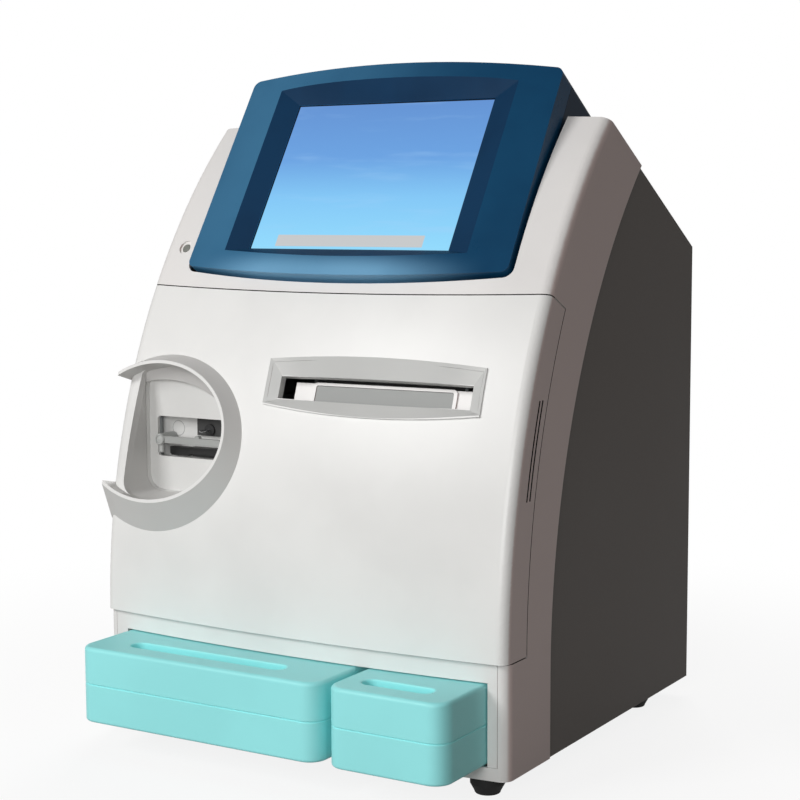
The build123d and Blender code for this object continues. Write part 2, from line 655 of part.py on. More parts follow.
with BuildPart() as rear_cover:
    with BuildSketch(Plane.YZ):
        with BuildLine():
            front_top = (STRIP_TOP_Y + SEAT, roof_z(STRIP_TOP_Y))
            front_low = (STRIP_FOOT_Y + SEAT, DOOR_LOW - 20)
            rear_top = (REAR_Y, roof_z(REAR_Y))
            Line(front_top, rear_top)
            Line(rear_top, (REAR_Y, BODY_LOW))
            Line((REAR_Y, BODY_LOW), (front_low[0], BODY_LOW))
            Line((front_low[0], BODY_LOW), front_low)
            TangentArc(front_low, front_top, tangent=(0, 1))
        make_face()
    extrude(amount=COVER_HALF, both=True)
    with BuildSketch(Plane.YZ):
        Polygon(
            (-FAR, roof_z(-FAR) - COVER_STEP),
            (-FAR, 2 * FAR),
            (FAR, 2 * FAR),
            (FAR, roof_z(FAR) - COVER_STEP),
            align=None,
        )
    extrude(amount=FAR, both=True, mode=Mode.SUBTRACT)
    under = COVER_STEP + COVER_SHEET / math.cos(math.radians(ROOF_ANGLE))
    with BuildSketch(Plane.YZ):
        Polygon(
            (-FAR, 0),
            (-FAR, roof_z(-FAR) - under),
            (FAR, roof_z(FAR) - under),
            (FAR, 0),
            align=None,
        )
    extrude(amount=COVER_HALF - COVER_SHEET, both=True, mode=Mode.SUBTRACT)
save(rear_cover, "rear_cover")

FAN_X = -HALF + 75.0
FAN_Z = 270.0
FAN_SIZE = 60.0
FAN_BORE = 27.5
FAN_DEPTH = 15.0
INLET_X = HALF - 50.0
INLET_Z = 60.0
INLET_WIDTH = 27.6  # mains inlet body, with the switch bay over it
INLET_HEIGHT = 46.0
INLET_FLANGE = 4.0
PORT_X = HALF - 150.0
PORT_Z = 293.0  # top of the board that the data ports stand on
PORT_SPACING = 34.0
VENT_LENGTH = 60.0
VENT_PITCH = 8.0
VENT_COUNT = 8
VENT_X = HALF - 90.0
VENT_Z = 190.0
PANEL_HALF = COVER_HALF - COVER_SHEET - SEAT
SERIAL_WIDTH = 31.0
SERIAL_HEIGHT = 12.5
NETWORK_WIDTH = 16.2
NETWORK_HEIGHT = 13.6
DATA_WIDTH = 14.6
DATA_HEIGHT = 7.0
port_sizes = (
    (SERIAL_WIDTH, SERIAL_HEIGHT),
    (NETWORK_WIDTH, NETWORK_HEIGHT),
    (DATA_WIDTH, DATA_HEIGHT),
    (DATA_WIDTH, DATA_HEIGHT),
)
rear_plane = Plane(origin=(0, REAR_PANEL_Y, 0), x_dir=(-1, 0, 0), z_dir=(0, 1, 0))


def port_x(index):
    """X of one of the data ports in the rear panel."""
    return PORT_X + PORT_SPACING * index


with BuildPart() as rear_panel:
    panel_high = roof_z(REAR_PANEL_Y) - under - SEAT
    with BuildSketch(rear_plane):
        with Locations((0, (BODY_LOW + panel_high) / 2)):
            Rectangle(2 * PANEL_HALF, panel_high - BODY_LOW)
        with Locations((-FAN_X, FAN_Z)):
            Circle(FAN_BORE, mode=Mode.SUBTRACT)
        with Locations((-INLET_X, INLET_Z)):
            Rectangle(INLET_WIDTH + FIT, INLET_HEIGHT + FIT, mode=Mode.SUBTRACT)
        for index, (width, height) in enumerate(port_sizes):
            with Locations((-port_x(index), PORT_Z + height / 2)):
                Rectangle(width + FIT, height + FIT, mode=Mode.SUBTRACT)
        with Locations((-VENT_X, VENT_Z)):
            with GridLocations(1, VENT_PITCH, 1, VENT_COUNT):
                SlotOverall(VENT_LENGTH, 3.0, mode=Mode.SUBTRACT)
    extrude(amount=-SHEET)
save(rear_panel, "rear_panel")

# ================================================================ door
GRIP_LOW = 185.0 + FOOT_HEIGHT  # grip slots in the door's right side
GRIP_HIGH = 251.0 + FOOT_HEIGHT
GRIP_SETBACKS = (18.0, 22.4)
GRIP_SLOT = 1.8
DOOR_RETURN = 12.0  # depth of the door's top and bottom walls

HINGE_RELIEF = 0.7  # wider seam behind the left flange, which swings inwards a little


def hinge_relief():
    """What is cut off the rear edge of the door's left flange."""
    with BuildPart() as relief:
        with Locations((-HALF, 0, DOOR_HIGH)):
            Box(4 * WALL, 2 * FAR, 2 * FAR)
        add(door_zone(SEAM).moved(Location((0, -HINGE_RELIEF, 0))), mode=Mode.SUBTRACT)
    return relief.part


with BuildPart() as door_panel:
    add(rounded_block(0, DOOR_LOW, DOOR_HIGH + 5))
    add(door_zone(SEAM), mode=Mode.INTERSECT)
    inner_low = DOOR_LOW + SEAM + WALL
    inner_high = DOOR_HIGH - DOOR_ARCH - SEAM - WALL - DOOR_RETURN * math.tan(DOOR_LEAN)
    add(rounded_block(WALL, inner_low, inner_high, WALL), mode=Mode.SUBTRACT)
    add(bowed_block(DOOR_RETURN, DOOR_LOW, DOOR_HIGH + 5, HALF - WALL), mode=Mode.SUBTRACT)
    add(opening_block(LIP + FIT, -30, 20), mode=Mode.SUBTRACT)
    with BuildSketch(bezel_plane.offset(-20)):
        add(bezel_outline(BEZEL_LAP - FIT))
    extrude(amount=40, mode=Mode.SUBTRACT)
    for setback in GRIP_SETBACKS:
        middle = (GRIP_LOW + GRIP_HIGH) / 2
        with BuildSketch(Plane.YZ.offset(HALF - 20)):
            with BuildLine():
                ThreePointArc(
                    (edge_y(GRIP_LOW) + setback, GRIP_LOW),
                    (edge_y(middle) + setback, middle),
                    (edge_y(GRIP_HIGH) + setback, GRIP_HIGH),
                )
            trace(line_width=GRIP_SLOT)
        extrude(amount=40, mode=Mode.SUBTRACT)
    add(hinge_relief(), mode=Mode.SUBTRACT)
save(door_panel, "door_panel")


def panel_outline(growth):
    """Front view of the funnel's end, of the panel's rim and of the panel, about the arc's middle."""
    return opening_outline(SAMPLER_ARC_WIDTH, SAMPLER_ARC_HEIGHT, FUNNEL_REACH, growth)


def funnel(growth):
    """The ring's funnel as a solid: straight through the door, then narrowing to the panel."""
    wide = opening_outline(CREST_HALF_WIDTH, CREST_HALF_HEIGHT, OPENING_REACH, growth)
    with BuildPart() as form:
        add(opening_block(growth, -COLLAR_DEPTH, RING_RISE))
        with BuildSketch(ring_plane.offset(-COLLAR_DEPTH)):
            with Locations((0, CREST_SHIFT)):
                add(wide)
        with BuildSketch(Plane.XZ.offset(-SAMPLER_Y + PANEL_RIM + SAMPLER_GAP)):
            with Locations((SAMPLER_ARC_X, SAMPLER_ARC_Z)):
                add(panel_outline(growth))
        loft()
    return form.part


def funnel_wall():
    """The funnel's wall, which ends in a low rim on the door's skin."""
    with BuildPart() as wall:
        add(funnel(LIP))
        add(funnel(0), mode=Mode.SUBTRACT)
        add(bowed_block(-FUNNEL_RIM, DOOR_LOW, DOOR_HIGH), mode=Mode.INTERSECT)
    return wall.part


with BuildPart() as sampling_ring:
    with BuildSketch(ring_plane.offset(-7)):
        Ellipse(RING_HALF_WIDTH + 1.5, RING_HALF_HEIGHT + 1.5)
    with BuildSketch(ring_plane.offset(RING_RISE)):
        with Locations((0, CREST_SHIFT)):
            Ellipse(CREST_HALF_WIDTH + CREST_LIP, CREST_HALF_HEIGHT + CREST_LIP)
    loft()
    with BuildSketch(ring_plane.offset(-20)):
        with Locations((0, CREST_SHIFT)):
            Ellipse(CREST_HALF_WIDTH, CREST_HALF_HEIGHT)
    extrude(amount=60, mode=Mode.SUBTRACT)
    add(rounded_block(-FOOT_GAP, DOOR_LOW, DOOR_HIGH + 5), mode=Mode.SUBTRACT)
    add(funnel_wall())
    with Locations((-HALF + SEAT + FAR / 2, 0, 0)):
        Box(FAR, 2 * FAR, 2 * FAR, mode=Mode.INTERSECT)
save(sampling_ring, "sampling_ring")

WINDOW_ARCH = 0.8


def bevel_profile(across):
    """Side view of the bevelled hollow, at a distance from the bezel's middle."""
    share = 1 - (2 * across / BEZEL_WIDTH) ** 2
    skin = BEZEL_PROUD / 2 - across**2 / (2 * BOW_RADIUS)
    side = BEZEL_SIDE_HEIGHT / 2 - BEZEL_RIM
    window_top = WINDOW_HEIGHT / 2 - WINDOW_DROP
    window_low = -WINDOW_HEIGHT / 2 - WINDOW_DROP
    spread = (BEVEL_DEPTH + BEVEL_REACH) / (BEVEL_DEPTH + skin)
    far_top = window_top + (side + BEZEL_ARCH_TOP * share - window_top) * spread
    far_low = window_low - (side + BEZEL_ARCH_LOW * share + window_low) * spread
    section = Plane(
        origin=bezel_plane.from_local_coords(Vector(across, 0, 0)),
        x_dir=bezel_plane.y_dir,
        z_dir=bezel_plane.x_dir,
    )
    with BuildSketch(section) as profile:
        Polygon(
            (window_low, -BEVEL_DEPTH),
            (window_top, -BEVEL_DEPTH),
            (far_top, BEVEL_REACH),
            (far_low, BEVEL_REACH),
            align=None,
        )
    return profile.sketch


def bevelled_hollow():
    """The four bevels that lead into the printer's window, mitred at the corners."""
    side_level = BEZEL_PROUD / 2 - (BEZEL_WIDTH / 2) ** 2 / (2 * BOW_RADIUS)
    spread = (BEVEL_DEPTH + BEVEL_REACH) / (BEVEL_DEPTH + side_level)
    window = WINDOW_WIDTH / 2
    far_side = window + (BEZEL_WIDTH / 2 - BEZEL_RIM - window) * spread
    plan = Plane(origin=bezel_plane.origin, x_dir=bezel_plane.x_dir, z_dir=-bezel_plane.y_dir)
    with BuildPart() as hollow:
        loft(sections=[bevel_profile(across) for across in (-BEZEL_WIDTH * 0.6, 0, BEZEL_WIDTH * 0.6)])
        with BuildSketch(plan):
            Polygon(
                (-window, -BEVEL_DEPTH),
                (window, -BEVEL_DEPTH),
                (far_side, BEVEL_REACH),
                (-far_side, BEVEL_REACH),
                align=None,
            )
        extrude(amount=BEZEL_WIDTH, both=True, mode=Mode.INTERSECT)
    return hollow.part


with BuildPart() as printer_bezel:
    with BuildSketch(bezel_plane.offset(-20)):
        add(bezel_outline(0))
    extrude(amount=40)
    add(bowed_block(-FOOT_GAP, DOOR_LOW, DOOR_HIGH), mode=Mode.SUBTRACT)
    with BuildSketch(bezel_plane.offset(-BEZEL_DEPTH)):
        add(bezel_outline(BEZEL_LAP))
    extrude(amount=40)
    add(bowed_block(-BEZEL_PROUD, DOOR_LOW, DOOR_HIGH), mode=Mode.INTERSECT)
    add(bevelled_hollow(), mode=Mode.SUBTRACT)
    with BuildSketch(bezel_plane.offset(-20)):
        add(barrel(WINDOW_WIDTH, WINDOW_HEIGHT - 1, WINDOW_ARCH, WINDOW_ARCH, (0, -WINDOW_DROP)))
    extrude(amount=40, mode=Mode.SUBTRACT)
save(printer_bezel, "printer_bezel")

# ---------------------------------------------------------------- door hinge
HINGE_LOW_Z = DOOR_LOW + 22.0  # heights of the two hinge arms on the hinge line
HINGE_HIGH_Z = DOOR_HIGH - 26.0
ARM_HEIGHT = 8.0
ARM_WIDTH = 6.0
ARM_REACH = 25.0  # the arm bends round the shell's edge at this distance
BOSS_RADIUS = 5.5
LUG_THICK = 3.0
hinge_foot = Vector(-HALF + HINGE_INSET, edge_y(DOOR_LOW) + FLANGE_DEPTH + HINGE_BACK, DOOR_LOW)
hinge_head = Vector(hinge_foot.X, edge_y(SEAM_TOP_Z) + FLANGE_DEPTH + HINGE_BACK, SEAM_TOP_Z)
hinge_line = (hinge_head - hinge_foot).normalized()


def hinge_plane(height):
    """Plane square to the leaning hinge line; its local y points to the rear."""
    share = (height - hinge_foot.Z) / (hinge_head.Z - hinge_foot.Z)
    return Plane(origin=hinge_foot + (hinge_head - hinge_foot) * share, x_dir=(1, 0, 0), z_dir=hinge_line)


print("door hinge line passes", tuple(hinge_foot), "direction", tuple(hinge_line))

with BuildPart() as hinge_arms:
    for height in (HINGE_LOW_Z, HINGE_HIGH_Z):
        with BuildSketch(hinge_plane(height).offset(-ARM_HEIGHT / 2)):
            Circle(BOSS_RADIUS)
            with Locations(((ARM_REACH + ARM_WIDTH) / 2, 0)):
                Rectangle(ARM_REACH + ARM_WIDTH, ARM_WIDTH)
            with Locations((ARM_REACH + ARM_WIDTH / 2, ARM_WIDTH / 2 - 40)):
                Rectangle(ARM_WIDTH, 80)
            with Locations((ARM_REACH + ARM_WIDTH / 2, -60)):
                Rectangle(34, 34)
            Circle(HINGE_PIN_RADIUS + RUNNING_FIT, mode=Mode.SUBTRACT)
        extrude(amount=ARM_HEIGHT)
    add(bowed_block(WALL, DOOR_LOW - 20, DOOR_HIGH + 20, HALF - WALL), mode=Mode.INTERSECT)
save(hinge_arms, "hinge_arms")

with BuildPart() as hinge_brackets:
    for height in (HINGE_LOW_Z, HINGE_HIGH_Z):
        span = ARM_HEIGHT + 2 * LUG_THICK + 2 * SEAT
        with BuildSketch(hinge_plane(height).offset(-span / 2)):
            Circle(BOSS_RADIUS)
            with Locations((1.5, 9)):
                Rectangle(8, 18)
            with Locations((-HINGE_INSET + WALL + SEAT + 1.5, 20)):
                Rectangle(3, 22)
            with Locations((-0.5, 16.5)):
                Rectangle(12, 4)
            Circle(HINGE_PIN_RADIUS, mode=Mode.SUBTRACT)
        extrude(amount=span)
        with BuildSketch(hinge_plane(height).offset(-ARM_HEIGHT / 2 - SEAT)):
            with Locations((7, 0)):
                Rectangle(30, 18)
        extrude(amount=ARM_HEIGHT + 2 * SEAT, mode=Mode.SUBTRACT)
save(hinge_brackets, "hinge_brackets")

with BuildPart() as hinge_pins:
    for height in (HINGE_LOW_Z, HINGE_HIGH_Z):
        length = ARM_HEIGHT + 2 * LUG_THICK + 2 * SEAT + 2
        with BuildSketch(hinge_plane(height).offset(-length / 2)):
            Circle(HINGE_PIN_RADIUS)
        extrude(amount=length)
save(hinge_pins, "hinge_pins")

CATCH_Z = 210.0
with BuildPart() as door_strike:
    strike_y = edge_y(CATCH_Z) + FLANGE_DEPTH - 10
    with Locations((HALF - WALL - SEAT - 6, strike_y, CATCH_Z)):
        Box(12, SHEET, 24)
    with Locations((HALF - WALL - SEAT - SHEET / 2, strike_y - 5, CATCH_Z)):
        Box(SHEET, 10 + SHEET, 24)
save(door_strike, "door_strike")

with BuildPart() as door_magnet:
    magnet_y = strike_y + SHEET / 2 + SEAT
    with Locations((HALF - WALL - SEAT - 6.5, magnet_y + 20, CATCH_Z)):
        Box(13, 40, 18)
    with Locations((HALF - WALL - SEAT - 13, magnet_y + 27, CATCH_Z)):
        Box(13, 30, 18, mode=Mode.SUBTRACT)
save(door_magnet, "door_magnet")

# ================================================================ sampler
SAMPLER_VIEW_LEFT = RING_X - 23.0  # window in the panel
SAMPLER_VIEW_WIDTH = 64.0
SAMPLER_VIEW_LOW = 206.0
SAMPLER_VIEW_HEIGHT = 30.5
BACKPLATE_Y = -80.0
PORT_PLATE_THICK = 2.5
NEEDLE_X = RING_X + 20.5
NEEDLE_Z = 227.2
NEEDLE_RADIUS = 0.8
NEEDLE_TIP_Y = -96.0
LEVER_X = RING_X - 16.5
LEVER_Z = 219.4
LEVER_LENGTH = 56.0
LEVER_HEIGHT = 5.0
LEVER_THICK = 3.0
LEVER_FRONT_Y = -97.0
HUB_RADIUS = 4.4
PIVOT_RADIUS = 1.5


with BuildPart() as sampler_panel:
    with BuildSketch(Plane.XZ.offset(-SAMPLER_Y)):
        with Locations((SAMPLER_ARC_X, SAMPLER_ARC_Z)):
            add(panel_outline(LIP + PANEL_LAP))
    extrude(amount=-SAMPLER_THICK)
    with BuildSketch(Plane.XZ.offset(-SAMPLER_Y)):
        with Locations((SAMPLER_ARC_X, SAMPLER_ARC_Z)):
            add(panel_outline(LIP))
            add(panel_outline(0), mode=Mode.SUBTRACT)
    extrude(amount=PANEL_RIM)
    with BuildSketch(Plane.XZ.offset(-SAMPLER_Y + 5)):
        with Locations(
            (SAMPLER_VIEW_LEFT + SAMPLER_VIEW_WIDTH / 2, SAMPLER_VIEW_LOW + SAMPLER_VIEW_HEIGHT / 2)
        ):
            RectangleRounded(SAMPLER_VIEW_WIDTH, SAMPLER_VIEW_HEIGHT, 3)
    extrude(amount=-20, mode=Mode.SUBTRACT)
save(sampler_panel, "sampler_panel")

NEEDLE_LENGTH = 50.0
NEEDLE_HUB = 3.0
NEEDLE_TRAVEL = 15.0
CHANNEL_LOW = 196.0  # channel that carries the sampler on the mounting sheet
CHANNEL_HIGH = 250.0
CHANNEL_LEFT = RING_X - 28.0
CHANNEL_RIGHT = RING_X + 48.0

with BuildPart() as sampler_channel:
    channel_front = SAMPLER_Y + SAMPLER_THICK
    with Locations(
        (
            (CHANNEL_LEFT + CHANNEL_RIGHT) / 2,
            (channel_front + BULKHEAD_Y) / 2,
            (CHANNEL_LOW + CHANNEL_HIGH) / 2,
        )
    ):
        Box(CHANNEL_RIGHT - CHANNEL_LEFT, BULKHEAD_Y - channel_front, CHANNEL_HIGH - CHANNEL_LOW)
    with Locations(((CHANNEL_LEFT + CHANNEL_RIGHT) / 2, BULKHEAD_Y - SHEET - FAR / 2, 0)):
        Box(CHANNEL_RIGHT - CHANNEL_LEFT - 2 * SHEET, FAR, 2 * FAR, mode=Mode.SUBTRACT)
    guide_y = NEEDLE_TIP_Y + NEEDLE_LENGTH - NEEDLE_TRAVEL - 6
    with Locations(((NEEDLE_X - 6 + CHANNEL_RIGHT) / 2, guide_y, NEEDLE_Z)):
        Box(CHANNEL_RIGHT - NEEDLE_X + 6, 6, 12)
    with BuildSketch(Plane.XZ.offset(-guide_y + 10)):
        with Locations((NEEDLE_X, NEEDLE_Z)):
            Circle(NEEDLE_RADIUS + RUNNING_FIT)
    extrude(amount=-20, mode=Mode.SUBTRACT)
save(sampler_channel, "sampler_channel")

BACKPLATE_THICK = 2.0
with BuildPart() as sampler_backplate:
    with BuildSketch(Plane.XZ.offset(-BACKPLATE_Y)):
        with Locations(((CHANNEL_LEFT + CHANNEL_RIGHT) / 2, (CHANNEL_LOW + CHANNEL_HIGH) / 2)):
            Rectangle(CHANNEL_RIGHT - CHANNEL_LEFT - 2 * SHEET, CHANNEL_HIGH - CHANNEL_LOW)
        with Locations((NEEDLE_X, NEEDLE_Z)):
            Circle(5.0, mode=Mode.SUBTRACT)
    extrude(amount=-BACKPLATE_THICK)
    with BuildSketch(Plane.XZ.offset(-BACKPLATE_Y)):
        with Locations((LEVER_X, LEVER_Z)):
            Circle(PIVOT_RADIUS)
    extrude(amount=BACKPLATE_Y - LEVER_FRONT_Y - 4)
save(sampler_backplate, "sampler_backplate")

PORT_PLATE_LEFT = RING_X + 8.0
PORT_PLATE_LOW = 222.6
with BuildPart() as port_plate:
    with BuildSketch(Plane.XZ.offset(-BACKPLATE_Y)):
        with Locations(
            (
                (PORT_PLATE_LEFT + CHANNEL_RIGHT - SHEET) / 2,
                (PORT_PLATE_LOW + CHANNEL_HIGH - 8) / 2,
            )
        ):
            Rectangle(CHANNEL_RIGHT - SHEET - PORT_PLATE_LEFT - 0.4, CHANNEL_HIGH - 8 - PORT_PLATE_LOW)
        with Locations((NEEDLE_X, NEEDLE_Z)):
            Circle(3.6, mode=Mode.SUBTRACT)
    extrude(amount=PORT_PLATE_THICK)
save(port_plate, "port_plate")

PORT_FRONT_Y = BACKPLATE_Y - PORT_PLATE_THICK
with BuildPart() as sample_port:
    with BuildSketch(Plane.XZ.offset(-PORT_FRONT_Y)):
        with Locations((NEEDLE_X, NEEDLE_Z)):
            Circle(4.4)
    extrude(amount=1.5)
    with BuildSketch(Plane.XZ.offset(-PORT_FRONT_Y)):
        with Locations((NEEDLE_X, NEEDLE_Z)):
            Circle(3.6)
    extrude(amount=-12)
    with BuildSketch(Plane.XZ.offset(-PORT_FRONT_Y - 1.5)):
        with Locations((NEEDLE_X, NEEDLE_Z)):
            Circle(2.6)
    extrude(amount=-2.5, mode=Mode.SUBTRACT)
    with BuildSketch(Plane.XZ.offset(-PORT_FRONT_Y + 5)):
        with Locations((NEEDLE_X, NEEDLE_Z)):
            Circle(NEEDLE_RADIUS + RUNNING_FIT)
    extrude(amount=-30, mode=Mode.SUBTRACT)
save(sample_port, "sample_port")

with BuildPart() as probe_needle:
    with BuildSketch(Plane.XZ.offset(-NEEDLE_TIP_Y)):
        with Locations((NEEDLE_X, NEEDLE_Z)):
            Circle(NEEDLE_RADIUS)
    extrude(amount=-NEEDLE_LENGTH)
    chamfer(probe_needle.faces().sort_by(Axis.Y)[0].edges(), length=0.5)
    with BuildSketch(Plane.XZ.offset(-NEEDLE_TIP_Y - NEEDLE_LENGTH)):
        with Locations((NEEDLE_X, NEEDLE_Z)):
            Circle(NEEDLE_HUB)
    extrude(amount=-8)
save(probe_needle, "probe_needle")

HUB_REAR_Y = BACKPLATE_Y - SEAT
with BuildPart() as sample_lever:
    with BuildSketch(Plane.XZ.offset(-HUB_REAR_Y)):
        with Locations((LEVER_X, LEVER_Z)):
            Circle(HUB_RADIUS)
    extrude(amount=HUB_REAR_Y - LEVER_FRONT_Y)
    with BuildSketch(Plane.XZ.offset(-LEVER_FRONT_Y - LEVER_THICK - 0.5)) as arm:
        with Locations((LEVER_X + LEVER_LENGTH / 2, LEVER_Z)):
            Rectangle(LEVER_LENGTH, LEVER_HEIGHT)
        fillet(arm.vertices().group_by(Axis.X)[-1], radius=1.5)
    extrude(amount=LEVER_THICK)
    with BuildSketch(Plane.XZ.offset(-LEVER_FRONT_Y - LEVER_THICK - 0.5)):
        with Locations((LEVER_X + LEVER_LENGTH * 0.62, LEVER_Z + LEVER_HEIGHT / 2)):
            Circle(2.2)
    extrude(amount=LEVER_THICK)
    with BuildSketch(Plane.XZ.offset(-HUB_REAR_Y)):
        with Locations((LEVER_X, LEVER_Z)):
            Circle(PIVOT_RADIUS + RUNNING_FIT)
    extrude(amount=HUB_REAR_Y - LEVER_FRONT_Y - 3, mode=Mode.SUBTRACT)
save(sample_lever, "sample_lever")

BLOCK_LOW = 206.5
BLOCK_DEPTH = 6.0
REST_X = RING_X - 6.0  # the probe's rest, left of the rinse block
REST_WIDTH = 19.0
REST_HEIGHT = 6.4
BLOCK_X = RING_X + 18.0
BLOCK_WIDTH = 27.0
BLOCK_HEAD = 5.0  # the block's head stands forward of its foot
FOOT_WIDTH = 24.0
FOOT_THICK = 2.0
with BuildPart() as rinse_block:
    with Locations((REST_X, BACKPLATE_Y - BLOCK_DEPTH / 2, BLOCK_LOW + REST_HEIGHT / 2)):
        Box(REST_WIDTH, BLOCK_DEPTH, REST_HEIGHT)
    chamfer(rinse_block.edges().filter_by(Axis.Y).group_by(Axis.Z)[0], length=1.5)
    head_depth = BLOCK_DEPTH + 2.0
    with Locations((BLOCK_X, BACKPLATE_Y - head_depth / 2, BLOCK_LOW + FOOT_THICK + BLOCK_HEAD / 2)):
        Box(BLOCK_WIDTH, head_depth, BLOCK_HEAD)
    with Locations((BLOCK_X, BACKPLATE_Y - BLOCK_DEPTH / 2, BLOCK_LOW + FOOT_THICK / 2)):
        Box(FOOT_WIDTH, BLOCK_DEPTH, FOOT_THICK)
save(rinse_block, "rinse_block")

# ================================================================ printer
PRINTER_GAP = 4.5  # from the bezel's tunnel back to the printer's front plate
PLATE_OUT = -BEZEL_DEPTH - PRINTER_GAP
PLATE_THICK = 2.0
PLATE_LEFT = -70.0
PLATE_RIGHT = 74.0
PLATE_TOP = 3.5
PLATE_BOTTOM = -24.0
LID_LEFT = -52.0
LID_WIDTH = 110.0
LID_TOP = 1.5
LID_HEIGHT = 15.5
LID_RIM = 3.0
LID_PIN_RADIUS = 1.0
LID_SINK = 0.8  # the lid reaches this far behind the plate's face
LID_PROUD = 0.85  # and this far in front; a thicker lid would touch the bay's edge as it tips
SHAFT_PLAY = 0.09  # radial clearance of the platen's long shaft
CHEEK_LEFT = -60.0
CHEEK_RIGHT = 66.0
CHEEK_THICK = 2.5
CHEEK_HIGH = 298.0
CHEEK_LOW = 240.0
PLATEN_RADIUS = 6.0
PLATEN_SHAFT = 2.5
ROLL_RADIUS = 23.0
SPINDLE_RADIUS = 6.0
PAPER_WIDTH = 110.0
ROLL_Y = -44.0
ROLL_Z = 266.0


def on_bezel(across, up, out):
    """World position of a point given in the bezel plane."""
    return bezel_plane.from_local_coords(Vector(across, up, out))


lid_middle = LID_LEFT + LID_WIDTH / 2
lid_low = LID_TOP - LID_HEIGHT

with BuildPart() as printer_plate:
    with BuildSketch(bezel_plane.offset(PLATE_OUT - PLATE_THICK)):
        with Locations(((PLATE_LEFT + PLATE_RIGHT) / 2, (PLATE_TOP + PLATE_BOTTOM) / 2)):
            Rectangle(PLATE_RIGHT - PLATE_LEFT, PLATE_TOP - PLATE_BOTTOM)
    extrude(amount=PLATE_THICK)
    with BuildSketch(bezel_plane.offset(PLATE_OUT)) as rim:
        with Locations((lid_middle, (LID_TOP + lid_low) / 2)):
            Rectangle(LID_WIDTH + 2 * LID_RIM, LID_HEIGHT + 2 * LID_RIM - 1.2)
        fillet(rim.vertices(), radius=3.5)
    extrude(amount=1.4)
    with BuildSketch(bezel_plane.offset(PLATE_OUT - 5)) as bay:
        with Locations((lid_middle, (LID_TOP + lid_low) / 2)):
            Rectangle(LID_WIDTH + 2 * SEAT, LID_HEIGHT + 2 * SEAT)
        fillet(bay.vertices(), radius=1.5)
    extrude(amount=10, mode=Mode.SUBTRACT)
    for x in (LID_LEFT - SEAT - LID_RIM / 2, LID_LEFT + LID_WIDTH + SEAT + LID_RIM / 2):
        with BuildSketch(Plane(origin=on_bezel(x, 0, 0), x_dir=bezel_plane.y_dir, z_dir=bezel_plane.x_dir)):
            with Locations((lid_low + 1.2, PLATE_OUT)):
                Circle(LID_PIN_RADIUS + RUNNING_FIT)
        extrude(amount=3.5, both=True, mode=Mode.SUBTRACT)
save(printer_plate, "printer_plate")

lid_axis_point = on_bezel(0, lid_low + 1.2, PLATE_OUT)
print("printer lid axis passes", tuple(lid_axis_point), "direction", tuple(bezel_plane.x_dir))
with BuildPart() as printer_lid:
    with BuildSketch(bezel_plane.offset(PLATE_OUT - LID_SINK)) as flap:
        with Locations((lid_middle, (LID_TOP + lid_low) / 2)):
            Rectangle(LID_WIDTH, LID_HEIGHT)
        fillet(flap.vertices(), radius=1.2)
    extrude(amount=LID_SINK + LID_PROUD)
    with BuildSketch(
        Plane(origin=on_bezel(lid_middle, 0, 0), x_dir=bezel_plane.y_dir, z_dir=bezel_plane.x_dir)
    ):
        with Locations((lid_low + 1.2, PLATE_OUT)):
            Circle(LID_PIN_RADIUS)
    extrude(amount=LID_WIDTH / 2 + LID_RIM, both=True)
save(printer_lid, "printer_lid")

platen_centre = on_bezel(0, 0.5, PLATE_OUT - PLATE_THICK - PLATEN_RADIUS - 2)
printer_left = BEZEL_X + CHEEK_LEFT
printer_right = BEZEL_X + CHEEK_RIGHT
printer_middle = (printer_left + printer_right) / 2


def along_x(y, z, x=0.0):
    """Plane square to X whose origin is a shaft's axis."""
    return Plane(origin=(x, y, z), x_dir=(0, 1, 0), z_dir=(1, 0, 0))


with BuildPart() as printer_frame:
    high_front = on_bezel(CHEEK_LEFT, PLATE_TOP, PLATE_OUT - PLATE_THICK - 0.6)
    low_front = on_bezel(CHEEK_LEFT, PLATE_BOTTOM, PLATE_OUT - PLATE_THICK - 0.6)
    for x in (printer_left, printer_right - CHEEK_THICK):
        with BuildSketch(Plane.YZ.offset(x)):
            Polygon(
                (low_front.Y + 4, low_front.Z),
                (high_front.Y + 4, high_front.Z),
                (high_front.Y + 20, CHEEK_HIGH),
                (BULKHEAD_Y, CHEEK_HIGH),
                (BULKHEAD_Y, CHEEK_LOW),
                (low_front.Y + 8, CHEEK_LOW),
                align=None,
            )
        extrude(amount=CHEEK_THICK)
    with Locations((printer_middle, BULKHEAD_Y - 22, CHEEK_LOW + CHEEK_THICK / 2)):
        Box(printer_right - printer_left, 44, CHEEK_THICK)
    with BuildSketch(bezel_plane.offset(PLATE_OUT - PLATE_THICK - 0.3)):
        with Locations((CHEEK_LEFT + 3, -17), (CHEEK_RIGHT - 3, -17)):
            Rectangle(10, 12)
    extrude(amount=-9)
    with BuildSketch(along_x(platen_centre.Y, platen_centre.Z)):
        Circle(PLATEN_SHAFT + SHAFT_PLAY)
    extrude(amount=FAR, both=True, mode=Mode.SUBTRACT)
    with BuildSketch(along_x(ROLL_Y, ROLL_Z, printer_left)):
        Circle(SPINDLE_RADIUS)
    extrude(amount=printer_right - printer_left)
save(printer_frame, "printer_frame")

with BuildPart() as platen_roller:
    clear = CHEEK_THICK + 1.0
    with BuildSketch(along_x(platen_centre.Y, platen_centre.Z, printer_left + clear)):
        Circle(PLATEN_RADIUS)
    extrude(amount=printer_right - printer_left - 2 * clear)
    with BuildSketch(along_x(platen_centre.Y, platen_centre.Z, printer_left - 3)):
        Circle(PLATEN_SHAFT)
    extrude(amount=printer_right - printer_left + 6)
save(platen_roller, "platen_roller")

